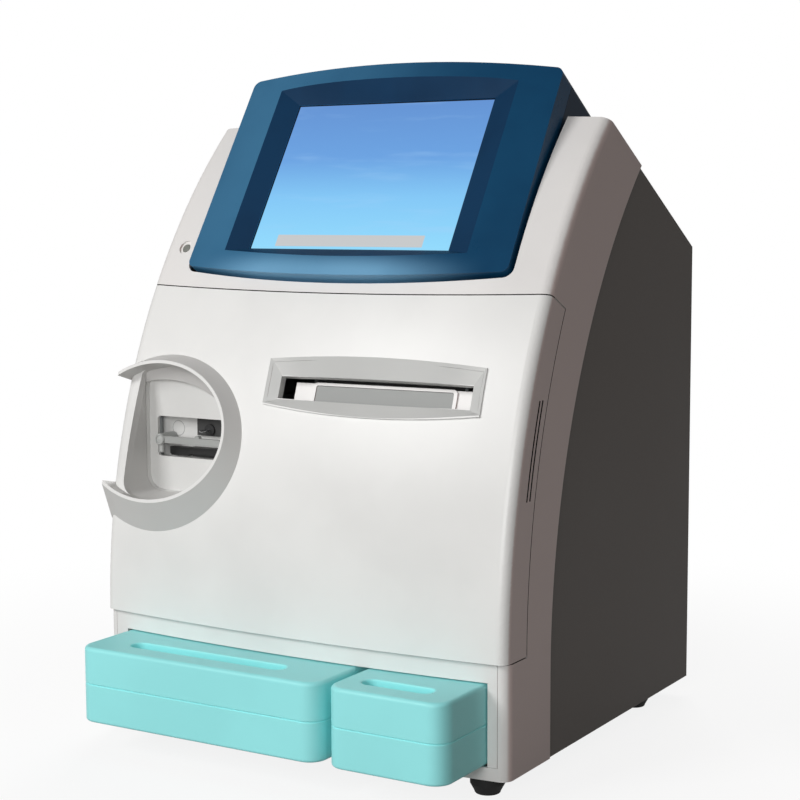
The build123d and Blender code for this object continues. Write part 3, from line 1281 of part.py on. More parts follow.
with BuildPart() as paper_roll:
    with BuildSketch(along_x(ROLL_Y, ROLL_Z, printer_middle - PAPER_WIDTH / 2)):
        Circle(ROLL_RADIUS)
        Circle(SPINDLE_RADIUS + RUNNING_FIT, mode=Mode.SUBTRACT)
    extrude(amount=PAPER_WIDTH)
save(paper_roll, "paper_roll")

with BuildPart() as print_head:
    head_y = platen_centre.Y + PLATEN_RADIUS + SEAT
    with Locations((printer_middle, head_y + 1.5, platen_centre.Z)):
        Box(printer_right - printer_left - 2 * CHEEK_THICK - 0.6, 3.0, 14.0)
save(print_head, "print_head")

# ================================================================ display
DISPLAY_LIP = 1.0  # thickness of the frame's edge over the touch glass
GLASS_WIDTH = 176.0
GLASS_HEIGHT = 133.0
GLASS_THICK = 1.5
POCKET_PLAY = 1.0
LCD_THICK = 9.0
BOARD_THICK = 1.6
face_radius = (FACE_LOW_HALF**2 + FACE_BOW**2) / (2 * FACE_BOW)
display_cross = Plane(
    origin=display_plane.origin, x_dir=display_plane.x_dir, z_dir=display_plane.y_dir
)
# the bevelled recess carried on to the height of the face's middle
RECESS_FAR_HALF = FACE_TOP_HALF - 11.5
RECESS_FAR_TOP = 88.0
RECESS_FAR_LOW = 73.4


def display_block(width, height, low, high):
    """Box lying in the display plane, centred on the screen."""
    with BuildPart() as block:
        with BuildSketch(display_plane.offset(low)):
            Rectangle(width, height)
        extrude(amount=high - low)
    return block.part


with BuildPart() as display_bezel:
    add(display_prism(0, -BEZEL_RIM_DEPTH, FACE_PROUD + 2))
    with BuildSketch(display_cross):
        with Locations((0, face_radius - FACE_PROUD)):
            Circle(face_radius)
    extrude(amount=FAR / 2, both=True, mode=Mode.INTERSECT)
    with BuildSketch(display_plane):
        Rectangle(SCREEN_WIDTH, SCREEN_HEIGHT)
    with BuildSketch(display_plane.offset(FACE_PROUD)):
        with BuildLine():
            top_left = (-RECESS_FAR_HALF, RECESS_FAR_TOP)
            top_right = (RECESS_FAR_HALF, RECESS_FAR_TOP)
            low_left = (-RECESS_FAR_HALF, -RECESS_FAR_LOW)
            low_right = (RECESS_FAR_HALF, -RECESS_FAR_LOW)
            Line(low_left, top_left)
            ThreePointArc(top_left, (0, RECESS_MIDDLE_TOP), top_right)
            Line(top_right, low_right)
            ThreePointArc(low_right, (0, -RECESS_MIDDLE_LOW), low_left)
        make_face()
    loft(mode=Mode.SUBTRACT)
    add(display_block(SCREEN_WIDTH, SCREEN_HEIGHT, -5, 1), mode=Mode.SUBTRACT)
    hollow_top = -DISPLAY_LIP - 1.4
    add(display_prism(DISPLAY_WALL, -BEZEL_RIM_DEPTH, hollow_top), mode=Mode.SUBTRACT)
    pocket_width = GLASS_WIDTH + 2 * POCKET_PLAY
    pocket_height = GLASS_HEIGHT + 2 * POCKET_PLAY
    add(
        display_block(pocket_width, pocket_height, -BEZEL_RIM_DEPTH, -DISPLAY_LIP),
        mode=Mode.SUBTRACT,
    )
save(display_bezel, "display_bezel")

glass_front = -DISPLAY_LIP - 0.1
with BuildPart() as touch_glass:
    add(display_block(GLASS_WIDTH, GLASS_HEIGHT, glass_front - GLASS_THICK, glass_front))
save(touch_glass, "touch_glass")

lcd_front = glass_front - GLASS_THICK - 0.2
lcd_rear = lcd_front - LCD_THICK
with BuildPart() as lcd_panel:
    add(display_block(pocket_width - 2 * SEAT, pocket_height - 2 * SEAT, lcd_rear, lcd_front))
    with BuildSketch(display_plane.offset(lcd_rear)):
        with Locations((-78, -50), (78, -50), (-78, 50), (78, 50)):
            Circle(2.5)
    extrude(amount=-4)
save(lcd_panel, "lcd_panel")

board_front = lcd_rear - 4
with BuildPart() as display_housing:
    add(display_prism(0, -DISPLAY_DEPTH, -BEZEL_RIM_DEPTH - SEAT))
    add(display_wedge(0), mode=Mode.INTERSECT)
    add(display_room(), mode=Mode.SUBTRACT)
save(display_housing, "display_housing")

# ================================================================ mounting sheet
BULKHEAD_FLANGE = 15.0
PUMP_X = HALF - 52.0
PUMP_Z = 150.0
PUMP_SHAFT = 2.5
SHELF_LENGTH = 25.0  # sloped shelf that carries the display housing
CABLE_HOLE = 11.0
HINGE_NOTCH_WIDTH = 15.0
HINGE_NOTCH_HEIGHT = 32.0
HINGE_NOTCH_Z = HINGE_HIGH_Z - 2.8
cable_holes = ((-HALF + 130.0, 220.0), (HALF - 150.0, 210.0), (HALF - 20.0, 260.0))


def wedge_rear(height):
    """Depth of the display housing's sloped rear, at a height up the screen plane."""
    top = FACE_TOP + FACE_ARCH_TOP + 5
    low = -FACE_LOW - FACE_ARCH_LOW - 5
    share = (height - low) / (top - low)
    return -DISPLAY_FOOT_DEPTH - share * (DISPLAY_DEPTH - DISPLAY_FOOT_DEPTH)


def shelf_start():
    """Height up the screen plane where the sloped rear crosses the mounting sheet."""
    low = -FACE_LOW - FACE_ARCH_LOW - 5
    slope = wedge_rear(1) - wedge_rear(0)
    tilt = math.radians(DISPLAY_TILT)
    per_height = math.sin(tilt) - math.cos(tilt) * slope
    low_y = SCREEN_Y + math.sin(tilt) * low - math.cos(tilt) * wedge_rear(low)
    return low + (BULKHEAD_Y - low_y) / per_height


with BuildPart() as bulkhead:
    start = shelf_start()
    shelf_corner = display_plane.from_local_coords(Vector(0, start, wedge_rear(start) - SEAT - SHEET))
    sheet_high = shelf_corner.Z
    with Locations((0, BULKHEAD_Y + SHEET / 2, (DECK_HIGH + sheet_high) / 2)):
        Box(2 * INNER_HALF, SHEET, sheet_high - DECK_HIGH)
    for side in (-1, 1):
        with Locations(
            (
                side * (INNER_HALF - SHEET / 2),
                BULKHEAD_Y + BULKHEAD_FLANGE / 2,
                (DECK_HIGH + sheet_high) / 2 - 5,
            )
        ):
            Box(SHEET, BULKHEAD_FLANGE, sheet_high - DECK_HIGH - 30)
    with Locations((0, BULKHEAD_Y + BULKHEAD_FLANGE / 2, DECK_HIGH + SHEET / 2)):
        Box(2 * INNER_HALF - 20, BULKHEAD_FLANGE, SHEET)
    with BuildSketch(Plane(origin=display_plane.origin, x_dir=display_plane.y_dir, z_dir=(1, 0, 0))):
        Polygon(
            (start - 2, wedge_rear(start - 2) - SEAT),
            (start + SHELF_LENGTH, wedge_rear(start + SHELF_LENGTH) - SEAT),
            (start + SHELF_LENGTH, wedge_rear(start + SHELF_LENGTH) - SEAT - SHEET),
            (start - 2, wedge_rear(start - 2) - SEAT - SHEET),
            align=None,
        )
    extrude(amount=FACE_TOP_HALF - 10, both=True)
    with Locations((-INNER_HALF, BULKHEAD_Y, HINGE_NOTCH_Z)):
        Box(2 * HINGE_NOTCH_WIDTH, 2 * FAR, HINGE_NOTCH_HEIGHT, mode=Mode.SUBTRACT)
    with BuildSketch(Plane.XZ.offset(-BULKHEAD_Y + 5)):
        with Locations(*cable_holes):
            Circle(CABLE_HOLE)
    extrude(amount=-20, mode=Mode.SUBTRACT)
    with BuildSketch(Plane.XZ.offset(-BULKHEAD_Y + 5)):
        with Locations((PUMP_X, PUMP_Z)):
            Circle(PUMP_SHAFT + 1)
    extrude(amount=-20, mode=Mode.SUBTRACT)
save(bulkhead, "bulkhead")

# ================================================================ pump and measuring block
PUMP_BLOCK_WIDTH = 64.0
PUMP_BLOCK_HEIGHT = 66.0
PUMP_BLOCK_DEPTH = 22.0
PUMP_FLOOR = 3.0
RACE_RADIUS = 24.2
HOSE_RADIUS = 1.5
HOSE_PATH = 22.6
ROLLER_RADIUS = 5.0
ROLLER_PATH = 16.0
ROLLER_PIN = 1.5
ROLLER_LENGTH = 12.0
DISC_RADIUS = 19.5
DISC_THICK = 2.0
ROLLER_COUNT = 3
pump_front = BULKHEAD_Y - PUMP_BLOCK_DEPTH
rotor_rear = BULKHEAD_Y - PUMP_FLOOR - SEAT


def pump_disc(radius, front, rear, across=0.0, up=0.0):
    """Round piece along Y, placed from the pump's axis."""
    with BuildPart() as disc:
        with BuildSketch(Plane.XZ.offset(-front)):
            with Locations((PUMP_X + across, PUMP_Z + up)):
                Circle(radius)
        extrude(amount=front - rear)
    return disc.part


def roller_angle(index):
    """Angle of a roller round the pump's axis."""
    return math.radians(90 + 360 / ROLLER_COUNT * index)


with BuildPart() as pump_block:
    with Locations((PUMP_X, (BULKHEAD_Y + pump_front) / 2, PUMP_Z)):
        Box(PUMP_BLOCK_WIDTH, PUMP_BLOCK_DEPTH, PUMP_BLOCK_HEIGHT)
    fillet(pump_block.edges().filter_by(Axis.Y), radius=5)
    add(pump_disc(RACE_RADIUS, pump_front - 1, BULKHEAD_Y - PUMP_FLOOR), mode=Mode.SUBTRACT)
    floor_y = BULKHEAD_Y - PUMP_FLOOR
    with Locations((PUMP_X, floor_y - FAR / 2, PUMP_Z - FAR / 2)):
        Box(2 * RACE_RADIUS, FAR, FAR, mode=Mode.SUBTRACT)
    add(pump_disc(PUMP_SHAFT + 0.5, pump_front, BULKHEAD_Y + 1), mode=Mode.SUBTRACT)
save(pump_block, "pump_block")

disc_rear_front = rotor_rear - DISC_THICK
disc_front_rear = disc_rear_front - ROLLER_LENGTH - 2 * RUNNING_FIT
disc_front = disc_front_rear - DISC_THICK
with BuildPart() as pump_rotor:
    add(pump_disc(DISC_RADIUS, disc_rear_front, rotor_rear))
    add(pump_disc(DISC_RADIUS, disc_front, disc_front_rear))
    add(pump_disc(7, disc_front - 4, rotor_rear))
    add(pump_disc(PUMP_SHAFT, rotor_rear, BULKHEAD_Y + SHEET + 3))
    for index in range(ROLLER_COUNT):
        across = ROLLER_PATH * math.cos(roller_angle(index))
        up = ROLLER_PATH * math.sin(roller_angle(index))
        add(pump_disc(ROLLER_PIN, disc_front, rotor_rear, across, up))
save(pump_rotor, "pump_rotor")

for index, name in enumerate(("pump_roller_a", "pump_roller_b", "pump_roller_c")):
    across = ROLLER_PATH * math.cos(roller_angle(index))
    up = ROLLER_PATH * math.sin(roller_angle(index))
    roller_front = disc_front_rear + RUNNING_FIT
    roller_rear = disc_rear_front - RUNNING_FIT
    with BuildPart() as pump_roller:
        add(pump_disc(ROLLER_RADIUS, roller_front, roller_rear, across, up))
        add(
            pump_disc(ROLLER_PIN + RUNNING_FIT, roller_front - 1, roller_rear + 1, across, up),
            mode=Mode.SUBTRACT,
        )
    save(pump_roller, name)

with BuildPart() as pump_hose:
    hose_y = (disc_front_rear + disc_rear_front) / 2
    with BuildLine(Plane.XZ.offset(-hose_y)) as hose_line:
        left_foot = (PUMP_X - HOSE_PATH, PUMP_Z - 44)
        left_top = (PUMP_X - HOSE_PATH, PUMP_Z)
        right_top = (PUMP_X + HOSE_PATH, PUMP_Z)
        right_foot = (PUMP_X + HOSE_PATH, PUMP_Z - 44)
        Line(left_foot, left_top)
        ThreePointArc(left_top, (PUMP_X, PUMP_Z + HOSE_PATH), right_top)
        Line(right_top, right_foot)
    with BuildSketch(Plane(origin=(PUMP_X - HOSE_PATH, hose_y, PUMP_Z - 44), z_dir=(0, 0, 1))):
        Circle(HOSE_RADIUS)
    sweep()
save(pump_hose, "pump_hose")

MOTOR_RADIUS = 18.0
MOTOR_LENGTH = 40.0
with BuildPart() as pump_motor:
    motor_front = BULKHEAD_Y + SHEET
    add(pump_disc(MOTOR_RADIUS, motor_front, motor_front + MOTOR_LENGTH))
    add(pump_disc(PUMP_SHAFT + RUNNING_FIT, motor_front - 1, motor_front + 8), mode=Mode.SUBTRACT)
    add(pump_disc(6, motor_front + MOTOR_LENGTH, motor_front + MOTOR_LENGTH + 3))
save(pump_motor, "pump_motor")

CHAMBER_LEFT = BEZEL_X - 73.0
CHAMBER_WIDTH = 80.0
CHAMBER_LOW = 148.0
CHAMBER_HEIGHT = 32.0
CHAMBER_DEPTH = 30.0
SENSOR_COUNT = 5
SENSOR_PITCH = 14.5
SENSOR_RADIUS = 5.5
SENSOR_LENGTH = 28.0
SENSOR_SOCKET = 12.0
chamber_middle = CHAMBER_LEFT + CHAMBER_WIDTH / 2
chamber_up = CHAMBER_LOW + CHAMBER_HEIGHT / 2
chamber_front = BULKHEAD_Y - CHAMBER_DEPTH

with BuildPart() as measuring_chamber:
    with Locations((chamber_middle, (BULKHEAD_Y + chamber_front) / 2, chamber_up)):
        Box(CHAMBER_WIDTH, CHAMBER_DEPTH, CHAMBER_HEIGHT)
    fillet(measuring_chamber.edges().filter_by(Axis.Y), radius=4)
    with BuildSketch(Plane.XZ.offset(-chamber_front)):
        with Locations((chamber_middle, chamber_up)):
            with GridLocations(SENSOR_PITCH, 1, SENSOR_COUNT, 1):
                Circle(SENSOR_RADIUS + RUNNING_FIT)
    extrude(amount=-SENSOR_SOCKET, mode=Mode.SUBTRACT)
save(measuring_chamber, "measuring_chamber")

with BuildPart() as electrodes:
    socket_floor = chamber_front + SENSOR_SOCKET
    with BuildSketch(Plane.XZ.offset(-socket_floor)):
        with Locations((chamber_middle, chamber_up)):
            with GridLocations(SENSOR_PITCH, 1, SENSOR_COUNT, 1):
                Circle(SENSOR_RADIUS)
    extrude(amount=SENSOR_LENGTH)
    with BuildSketch(Plane.XZ.offset(-socket_floor + SENSOR_LENGTH)):
        with Locations((chamber_middle, chamber_up)):
            with GridLocations(SENSOR_PITCH, 1, SENSOR_COUNT, 1):
                Circle(3.5)
    extrude(amount=6)
save(electrodes, "electrodes")

VALVE_LEFT = BEZEL_X - 75.0
VALVE_PITCH = 22.0
VALVE_COUNT = 3
VALVE_RADIUS = 7.0
VALVE_Z = 114.0
with BuildPart() as valve_block:
    with Locations((VALVE_LEFT + VALVE_PITCH, BULKHEAD_Y - 6, VALVE_Z)):
        Box(VALVE_PITCH * VALVE_COUNT, 12, 26)
    with BuildSketch(Plane.XZ.offset(-BULKHEAD_Y + 12)):
        with Locations((VALVE_LEFT + VALVE_PITCH, VALVE_Z + 3)):
            with GridLocations(VALVE_PITCH, 1, VALVE_COUNT, 1):
                Circle(VALVE_RADIUS)
    extrude(amount=24)
    with BuildSketch(Plane.XZ.offset(-BULKHEAD_Y + 36)):
        with Locations((VALVE_LEFT + VALVE_PITCH, VALVE_Z + 3)):
            with GridLocations(VALVE_PITCH, 1, VALVE_COUNT, 1):
                Circle(2.5)
    extrude(amount=4)
save(valve_block, "valve_block")

# ================================================================ rear fittings
FAN_HUB = 13.0
FAN_SHAFT = 1.5
FAN_HOLE_PITCH = 50.0
FAN_BLADE_REACH = 26.0
FAN_BLADES = 7
BLADE_PITCH_ANGLE = 38.0
panel_inner_y = REAR_PANEL_Y - SHEET
fan_rear = panel_inner_y - SEAT
fan_front = fan_rear - FAN_DEPTH
STRUT_DEPTH = 3.0


def fan_disc(radius, front, rear):
    """Round piece along Y on the fan's axis."""
    with BuildPart() as disc:
        with BuildSketch(Plane.XZ.offset(-front)):
            with Locations((FAN_X, FAN_Z)):
                Circle(radius)
        extrude(amount=front - rear)
    return disc.part


with BuildPart() as fan_frame:
    with Locations((FAN_X, (fan_front + fan_rear) / 2, FAN_Z)):
        Box(FAN_SIZE, FAN_DEPTH, FAN_SIZE)
    fillet(fan_frame.edges().filter_by(Axis.Y), radius=4)
    add(fan_disc(FAN_BORE, fan_front - 1, fan_rear + 1), mode=Mode.SUBTRACT)
    with BuildSketch(Plane.XZ.offset(-fan_front)):
        with Locations((FAN_X, FAN_Z)):
            with GridLocations(FAN_HOLE_PITCH, FAN_HOLE_PITCH, 2, 2):
                Circle(2.2)
    extrude(amount=-FAN_DEPTH, mode=Mode.SUBTRACT)
    with Locations((FAN_X, fan_front + STRUT_DEPTH / 2, FAN_Z)):
        Box(2 * FAN_BORE + 2, STRUT_DEPTH, 3.5)
        Box(3.5, STRUT_DEPTH, 2 * FAN_BORE + 2)
    add(fan_disc(FAN_HUB, fan_front, fan_front + STRUT_DEPTH))
    add(fan_disc(FAN_SHAFT + RUNNING_FIT, fan_front - 1, fan_front + 5), mode=Mode.SUBTRACT)
save(fan_frame, "fan_frame")

with BuildPart() as fan_rotor:
    hub_front = fan_front + STRUT_DEPTH + SEAT
    hub_rear = fan_rear - 1.0
    add(fan_disc(FAN_HUB, hub_front, hub_rear))
    blade_plane = Plane(
        origin=(FAN_X, (hub_front + hub_rear) / 2, FAN_Z), x_dir=(1, 0, 0), z_dir=(0, 0, 1)
    )
    for index in range(FAN_BLADES):
        turn = 360 / FAN_BLADES * index
        blade_frame = blade_plane.rotated((0, turn, 0))
        with BuildSketch(blade_frame.offset(FAN_HUB - 3)) as blade:
            Rectangle(11, 1.4, rotation=BLADE_PITCH_ANGLE)
        extrude(amount=FAN_BLADE_REACH - FAN_HUB + 3)
    add(fan_disc(FAN_SHAFT, fan_front + 0.5, hub_front))
save(fan_rotor, "fan_rotor")

GUARD_WIRE = 1.0
with BuildPart() as fan_guard:
    with BuildSketch(Plane.XZ.offset(-REAR_PANEL_Y)):
        with Locations((FAN_X, FAN_Z)):
            for radius in (10.0, 17.5, 25.0):
                Circle(radius + GUARD_WIRE)
                Circle(radius - GUARD_WIRE, mode=Mode.SUBTRACT)
            Circle(4)
        with Locations((FAN_X, FAN_Z)):
            with PolarLocations(0, 1, start_angle=0):
                Rectangle(64, 2, rotation=45)
                Rectangle(64, 2, rotation=-45)
            with GridLocations(FAN_HOLE_PITCH, FAN_HOLE_PITCH, 2, 2):
                Circle(4)
    extrude(amount=-2)
save(fan_guard, "fan_guard")

INLET_DEPTH = 24.0
CAVITY_WIDTH = 24.0
CAVITY_HEIGHT = 16.5
CAVITY_DEPTH = 17.0
CAVITY_DROP = 10.0
ROCKER_WIDTH = 21.0
ROCKER_HEIGHT = 12.0
ROCKER_LIFT = 13.0
ROCKER_PIN = 1.0
flange_rear = REAR_PANEL_Y + 2.0
rocker_z = INLET_Z + ROCKER_LIFT
cavity_z = INLET_Z - CAVITY_DROP

with BuildPart() as power_inlet:
    with Locations((INLET_X, REAR_PANEL_Y - INLET_DEPTH / 2, INLET_Z)):
        Box(INLET_WIDTH, INLET_DEPTH, INLET_HEIGHT)
    with BuildSketch(Plane.XZ.offset(-REAR_PANEL_Y)):
        with Locations((INLET_X, INLET_Z)):
            RectangleRounded(
                INLET_WIDTH + 2 * INLET_FLANGE, INLET_HEIGHT + 2 * INLET_FLANGE, INLET_FLANGE
            )
    extrude(amount=-(flange_rear - REAR_PANEL_Y))
    with BuildSketch(Plane.XZ.offset(-flange_rear)) as socket:
        with Locations((INLET_X, cavity_z)):
            Rectangle(CAVITY_WIDTH, CAVITY_HEIGHT)
        chamfer(socket.vertices().group_by(Axis.Y)[-1], length=4)
    extrude(amount=CAVITY_DEPTH, mode=Mode.SUBTRACT)
    with BuildSketch(Plane.XZ.offset(-flange_rear)):
        with Locations((INLET_X, rocker_z)):
            Rectangle(ROCKER_WIDTH + 2 * SEAT, ROCKER_HEIGHT + 2 * SEAT)
    extrude(amount=12, mode=Mode.SUBTRACT)
    with BuildSketch(along_x(REAR_PANEL_Y - 1.5, rocker_z, INLET_X)):
        Circle(ROCKER_PIN + RUNNING_FIT)
    extrude(amount=ROCKER_WIDTH / 2 + 2.5, both=True, mode=Mode.SUBTRACT)
save(power_inlet, "power_inlet")

with BuildPart() as power_rocker:
    rocker_y = REAR_PANEL_Y - 1.5
    with BuildSketch(along_x(rocker_y, rocker_z, INLET_X)):
        Polygon(
            (3.2, -ROCKER_HEIGHT / 2 + 0.4),
            (1.8, 0),
            (5.2, ROCKER_HEIGHT / 2 - 0.9),
            (-2.0, ROCKER_HEIGHT / 2 - 0.9),
            (-4.0, 0),
            (-2.0, -ROCKER_HEIGHT / 2 + 0.4),
            align=None,
        )
    extrude(amount=ROCKER_WIDTH / 2, both=True)
    with BuildSketch(along_x(rocker_y, rocker_z, INLET_X)):
        Circle(ROCKER_PIN)
    extrude(amount=ROCKER_WIDTH / 2 + 2, both=True)
save(power_rocker, "power_rocker")

PORT_DEPTH = 14.0
with BuildPart() as data_ports:
    for index, (width, height) in enumerate(port_sizes):
        port_centre_z = PORT_Z + height / 2
        with Locations((port_x(index), REAR_PANEL_Y - PORT_DEPTH / 2 + 0.5, port_centre_z)):
            Box(width - FIT, PORT_DEPTH, height - FIT)
        with Locations((port_x(index), REAR_PANEL_Y, port_centre_z)):
            Box(width - 4, 18, height - 4, mode=Mode.SUBTRACT)
save(data_ports, "data_ports")

SUPPLY_WIDTH = 118.0
SUPPLY_LENGTH = 125.0
SUPPLY_HEIGHT = 42.0
SUPPLY_X = -HALF + 88.0
SUPPLY_Y = REAR_Y - 99.0
with BuildPart() as power_supply:
    with Locations((SUPPLY_X, SUPPLY_Y, DECK_HIGH + SUPPLY_HEIGHT / 2)):
        Box(SUPPLY_WIDTH, SUPPLY_LENGTH, SUPPLY_HEIGHT)
    with BuildSketch(Plane.XY.offset(DECK_HIGH + SUPPLY_HEIGHT)):
        with Locations((SUPPLY_X, SUPPLY_Y)):
            with GridLocations(9, 30, 10, 3):
                SlotOverall(22, 4, rotation=90)
    extrude(amount=-3, mode=Mode.SUBTRACT)
save(power_supply, "power_supply")

BOARD_X = -HALF + 100.0
BOARD_Z = 190.0
BOARD_WIDTH = 160.0
BOARD_HEIGHT = 130.0
STANDOFF = 8.0
with BuildPart() as circuit_boards:
    board_y = BULKHEAD_Y + SHEET + STANDOFF
    with Locations((BOARD_X, board_y + BOARD_THICK / 2, BOARD_Z)):
        Box(BOARD_WIDTH, BOARD_THICK, BOARD_HEIGHT)
    with BuildSketch(Plane.XZ.offset(-board_y)):
        with Locations((BOARD_X, BOARD_Z)):
            with GridLocations(BOARD_WIDTH - 12, BOARD_HEIGHT - 12, 2, 2):
                Circle(3)
    extrude(amount=STANDOFF)
    with BuildSketch(Plane.XZ.offset(-board_y - BOARD_THICK)):
        with Locations((BOARD_X - 30, BOARD_Z + 15)):
            Rectangle(32, 32)
        with Locations((BOARD_X + 30, BOARD_Z + 25), (BOARD_X + 30, BOARD_Z)):
            Rectangle(26, 12)
        with Locations((BOARD_X - 20, BOARD_Z - 48), (BOARD_X + 40, BOARD_Z - 48)):
            Rectangle(42, 9)
    extrude(amount=-5)
    add(display_block(166, 110, board_front - BOARD_THICK, board_front))
    with BuildSketch(display_plane.offset(board_front - BOARD_THICK)):
        with Locations((-40, 10)):
            Rectangle(24, 24)
        with Locations((20, 20)):
            Rectangle(18, 12)
        with Locations((62, -20), (62, 10)):
            Rectangle(10, 22)
    extrude(amount=-3)
    board_high = PORT_Z + FIT / 2
    with Locations((PORT_X + 1.5 * PORT_SPACING, panel_inner_y - SEAT - 24, board_high - BOARD_THICK / 2)):
        Box(4 * PORT_SPACING + 4, 48, BOARD_THICK)
save(circuit_boards, "circuit_boards")
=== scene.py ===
# %% [markdown]
# # A bench blood gas analyzer
# The solids come from the CAD model, already in their places and in metres. This file gives
# them their finishes, adds the small things that a maker would fit last, and sets up the
# light and the camera. Nothing here changes a dimension of the solids.

# %% Load the frame
import math

import bmesh
import bpy
from mathutils import Matrix, Vector


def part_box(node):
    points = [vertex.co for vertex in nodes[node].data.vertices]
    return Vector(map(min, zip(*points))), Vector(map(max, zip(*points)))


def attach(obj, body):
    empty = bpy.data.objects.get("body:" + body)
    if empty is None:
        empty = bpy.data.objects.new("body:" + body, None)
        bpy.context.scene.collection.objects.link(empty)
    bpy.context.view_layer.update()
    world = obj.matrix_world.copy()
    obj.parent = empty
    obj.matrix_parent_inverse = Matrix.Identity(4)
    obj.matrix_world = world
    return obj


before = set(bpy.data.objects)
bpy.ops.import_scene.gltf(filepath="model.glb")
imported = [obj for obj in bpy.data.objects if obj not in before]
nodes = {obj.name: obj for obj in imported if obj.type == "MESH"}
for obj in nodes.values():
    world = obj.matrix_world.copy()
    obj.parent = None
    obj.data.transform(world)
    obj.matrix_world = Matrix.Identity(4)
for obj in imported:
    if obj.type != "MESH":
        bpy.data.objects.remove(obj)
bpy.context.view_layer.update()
print("pieces in the frame:", len(nodes))

# %% [markdown]
# ## The camera
# The picture was taken from in front and to the right, a little above the machine's middle,
# with a lens of about 80 mm. The place and the three angles were worked out beforehand from
# the straight edges of the case, so here they are only numbers.

# %% Camera
CAMERA_PLACE = Vector((0.700516, -1.139153, 0.394517))
CAMERA_LENS = 79.77
camera_yaw = math.radians(31.215)
camera_pitch = math.radians(6.271)
camera_roll = math.radians(0.221)

forward = Vector(
    (
        -math.sin(camera_yaw) * math.cos(camera_pitch),
        math.cos(camera_yaw) * math.cos(camera_pitch),
        -math.sin(camera_pitch),
    )
)
level_right = Vector((math.cos(camera_yaw), math.sin(camera_yaw), 0.0))
level_up = level_right.cross(forward)
right = level_right * math.cos(camera_roll) - level_up * math.sin(camera_roll)
up = level_up * math.cos(camera_roll) + level_right * math.sin(camera_roll)

camera_data = bpy.data.cameras.new("camera")
camera_data.lens = CAMERA_LENS
camera_data.sensor_width = 36.0
camera_data.sensor_fit = "HORIZONTAL"
camera = bpy.data.objects.new("camera", camera_data)
bpy.context.scene.collection.objects.link(camera)
turn = Matrix((right, up, -forward)).transposed().to_4x4()
camera.matrix_world = Matrix.Translation(CAMERA_PLACE) @ turn
bpy.context.scene.camera = camera
print("camera looks along", [round(v, 3) for v in forward])

# %% [markdown]
# ## Shader maths
# A finish is easier to read as a sum than as a web of nodes. One small class wraps the
# output of a node, so that `1 - mask` or `noise * 0.1` adds the Math node that is meant.


# %% Signals
class Signal:
    """The output of a shader node, with Python's operators."""

    def __init__(self, finish, socket):
        self.finish = finish
        self.socket = socket

    def math(self, operation, *others, swapped=False):
        values = [self, *others]
        if swapped:
            values.reverse()
        return self.finish.node("ShaderNodeMath", {"operation": operation}, dict(enumerate(values)))

    def __add__(self, other):
        return self.math("ADD", other)

    __radd__ = __add__

    def __mul__(self, other):
        return self.math("MULTIPLY", other)

    __rmul__ = __mul__

    def __sub__(self, other):
        return self.math("SUBTRACT", other)

    def __rsub__(self, other):
        return self.math("SUBTRACT", other, swapped=True)

    def __truediv__(self, other):
        return self.math("DIVIDE", other)

    def __rtruediv__(self, other):
        return self.math("DIVIDE", other, swapped=True)

    def __abs__(self):
        return self.math("ABSOLUTE")

    def spread(self, low, high, to_low=0.0, to_high=1.0, soft=True):
        """Carries low..high over to to_low..to_high and stops at the ends."""
        settings = {"interpolation_type": "SMOOTHSTEP" if soft else "LINEAR"}
        sockets = {"Value": self, "From Min": low, "From Max": high}
        sockets.update({"To Min": to_low, "To Max": to_high})
        return self.finish.node("ShaderNodeMapRange", settings, sockets)


print("signals can be added, multiplied and spread")

# %% [markdown]
# ## Colours
# A paint maker gives a colour as it looks, and a shader wants it as an amount of light. One
# function carries the first over to the second, and another makes a colour darker or lighter.


# %% Colours
def paint(red, green, blue):
    """A colour as it is read off a screen, 0 to 255, made linear for the shader."""

    def linear(value):
        value /= 255
        return value / 12.92 if value <= 0.04045 else ((value + 0.055) / 1.055) ** 2.4

    return (linear(red), linear(green), linear(blue), 1.0)


def toned(colour, factor):
    """A colour made darker or lighter by a factor."""
    return tuple(min(1.0, value * factor) for value in colour[:3]) + (1.0,)


PURE_WHITE = (1.0, 1.0, 1.0, 1.0)
print("half bright on a screen is", round(paint(128, 128, 128)[0], 3), "of the light")

# %% [markdown]
# ## Finishes
# A second class holds one material while it is being made. It adds any node by its type, its
# settings and its sockets, and it has short ways to the few things that every finish here
# needs: noise, a distance along a line, the way a face looks, a mix and a relief.


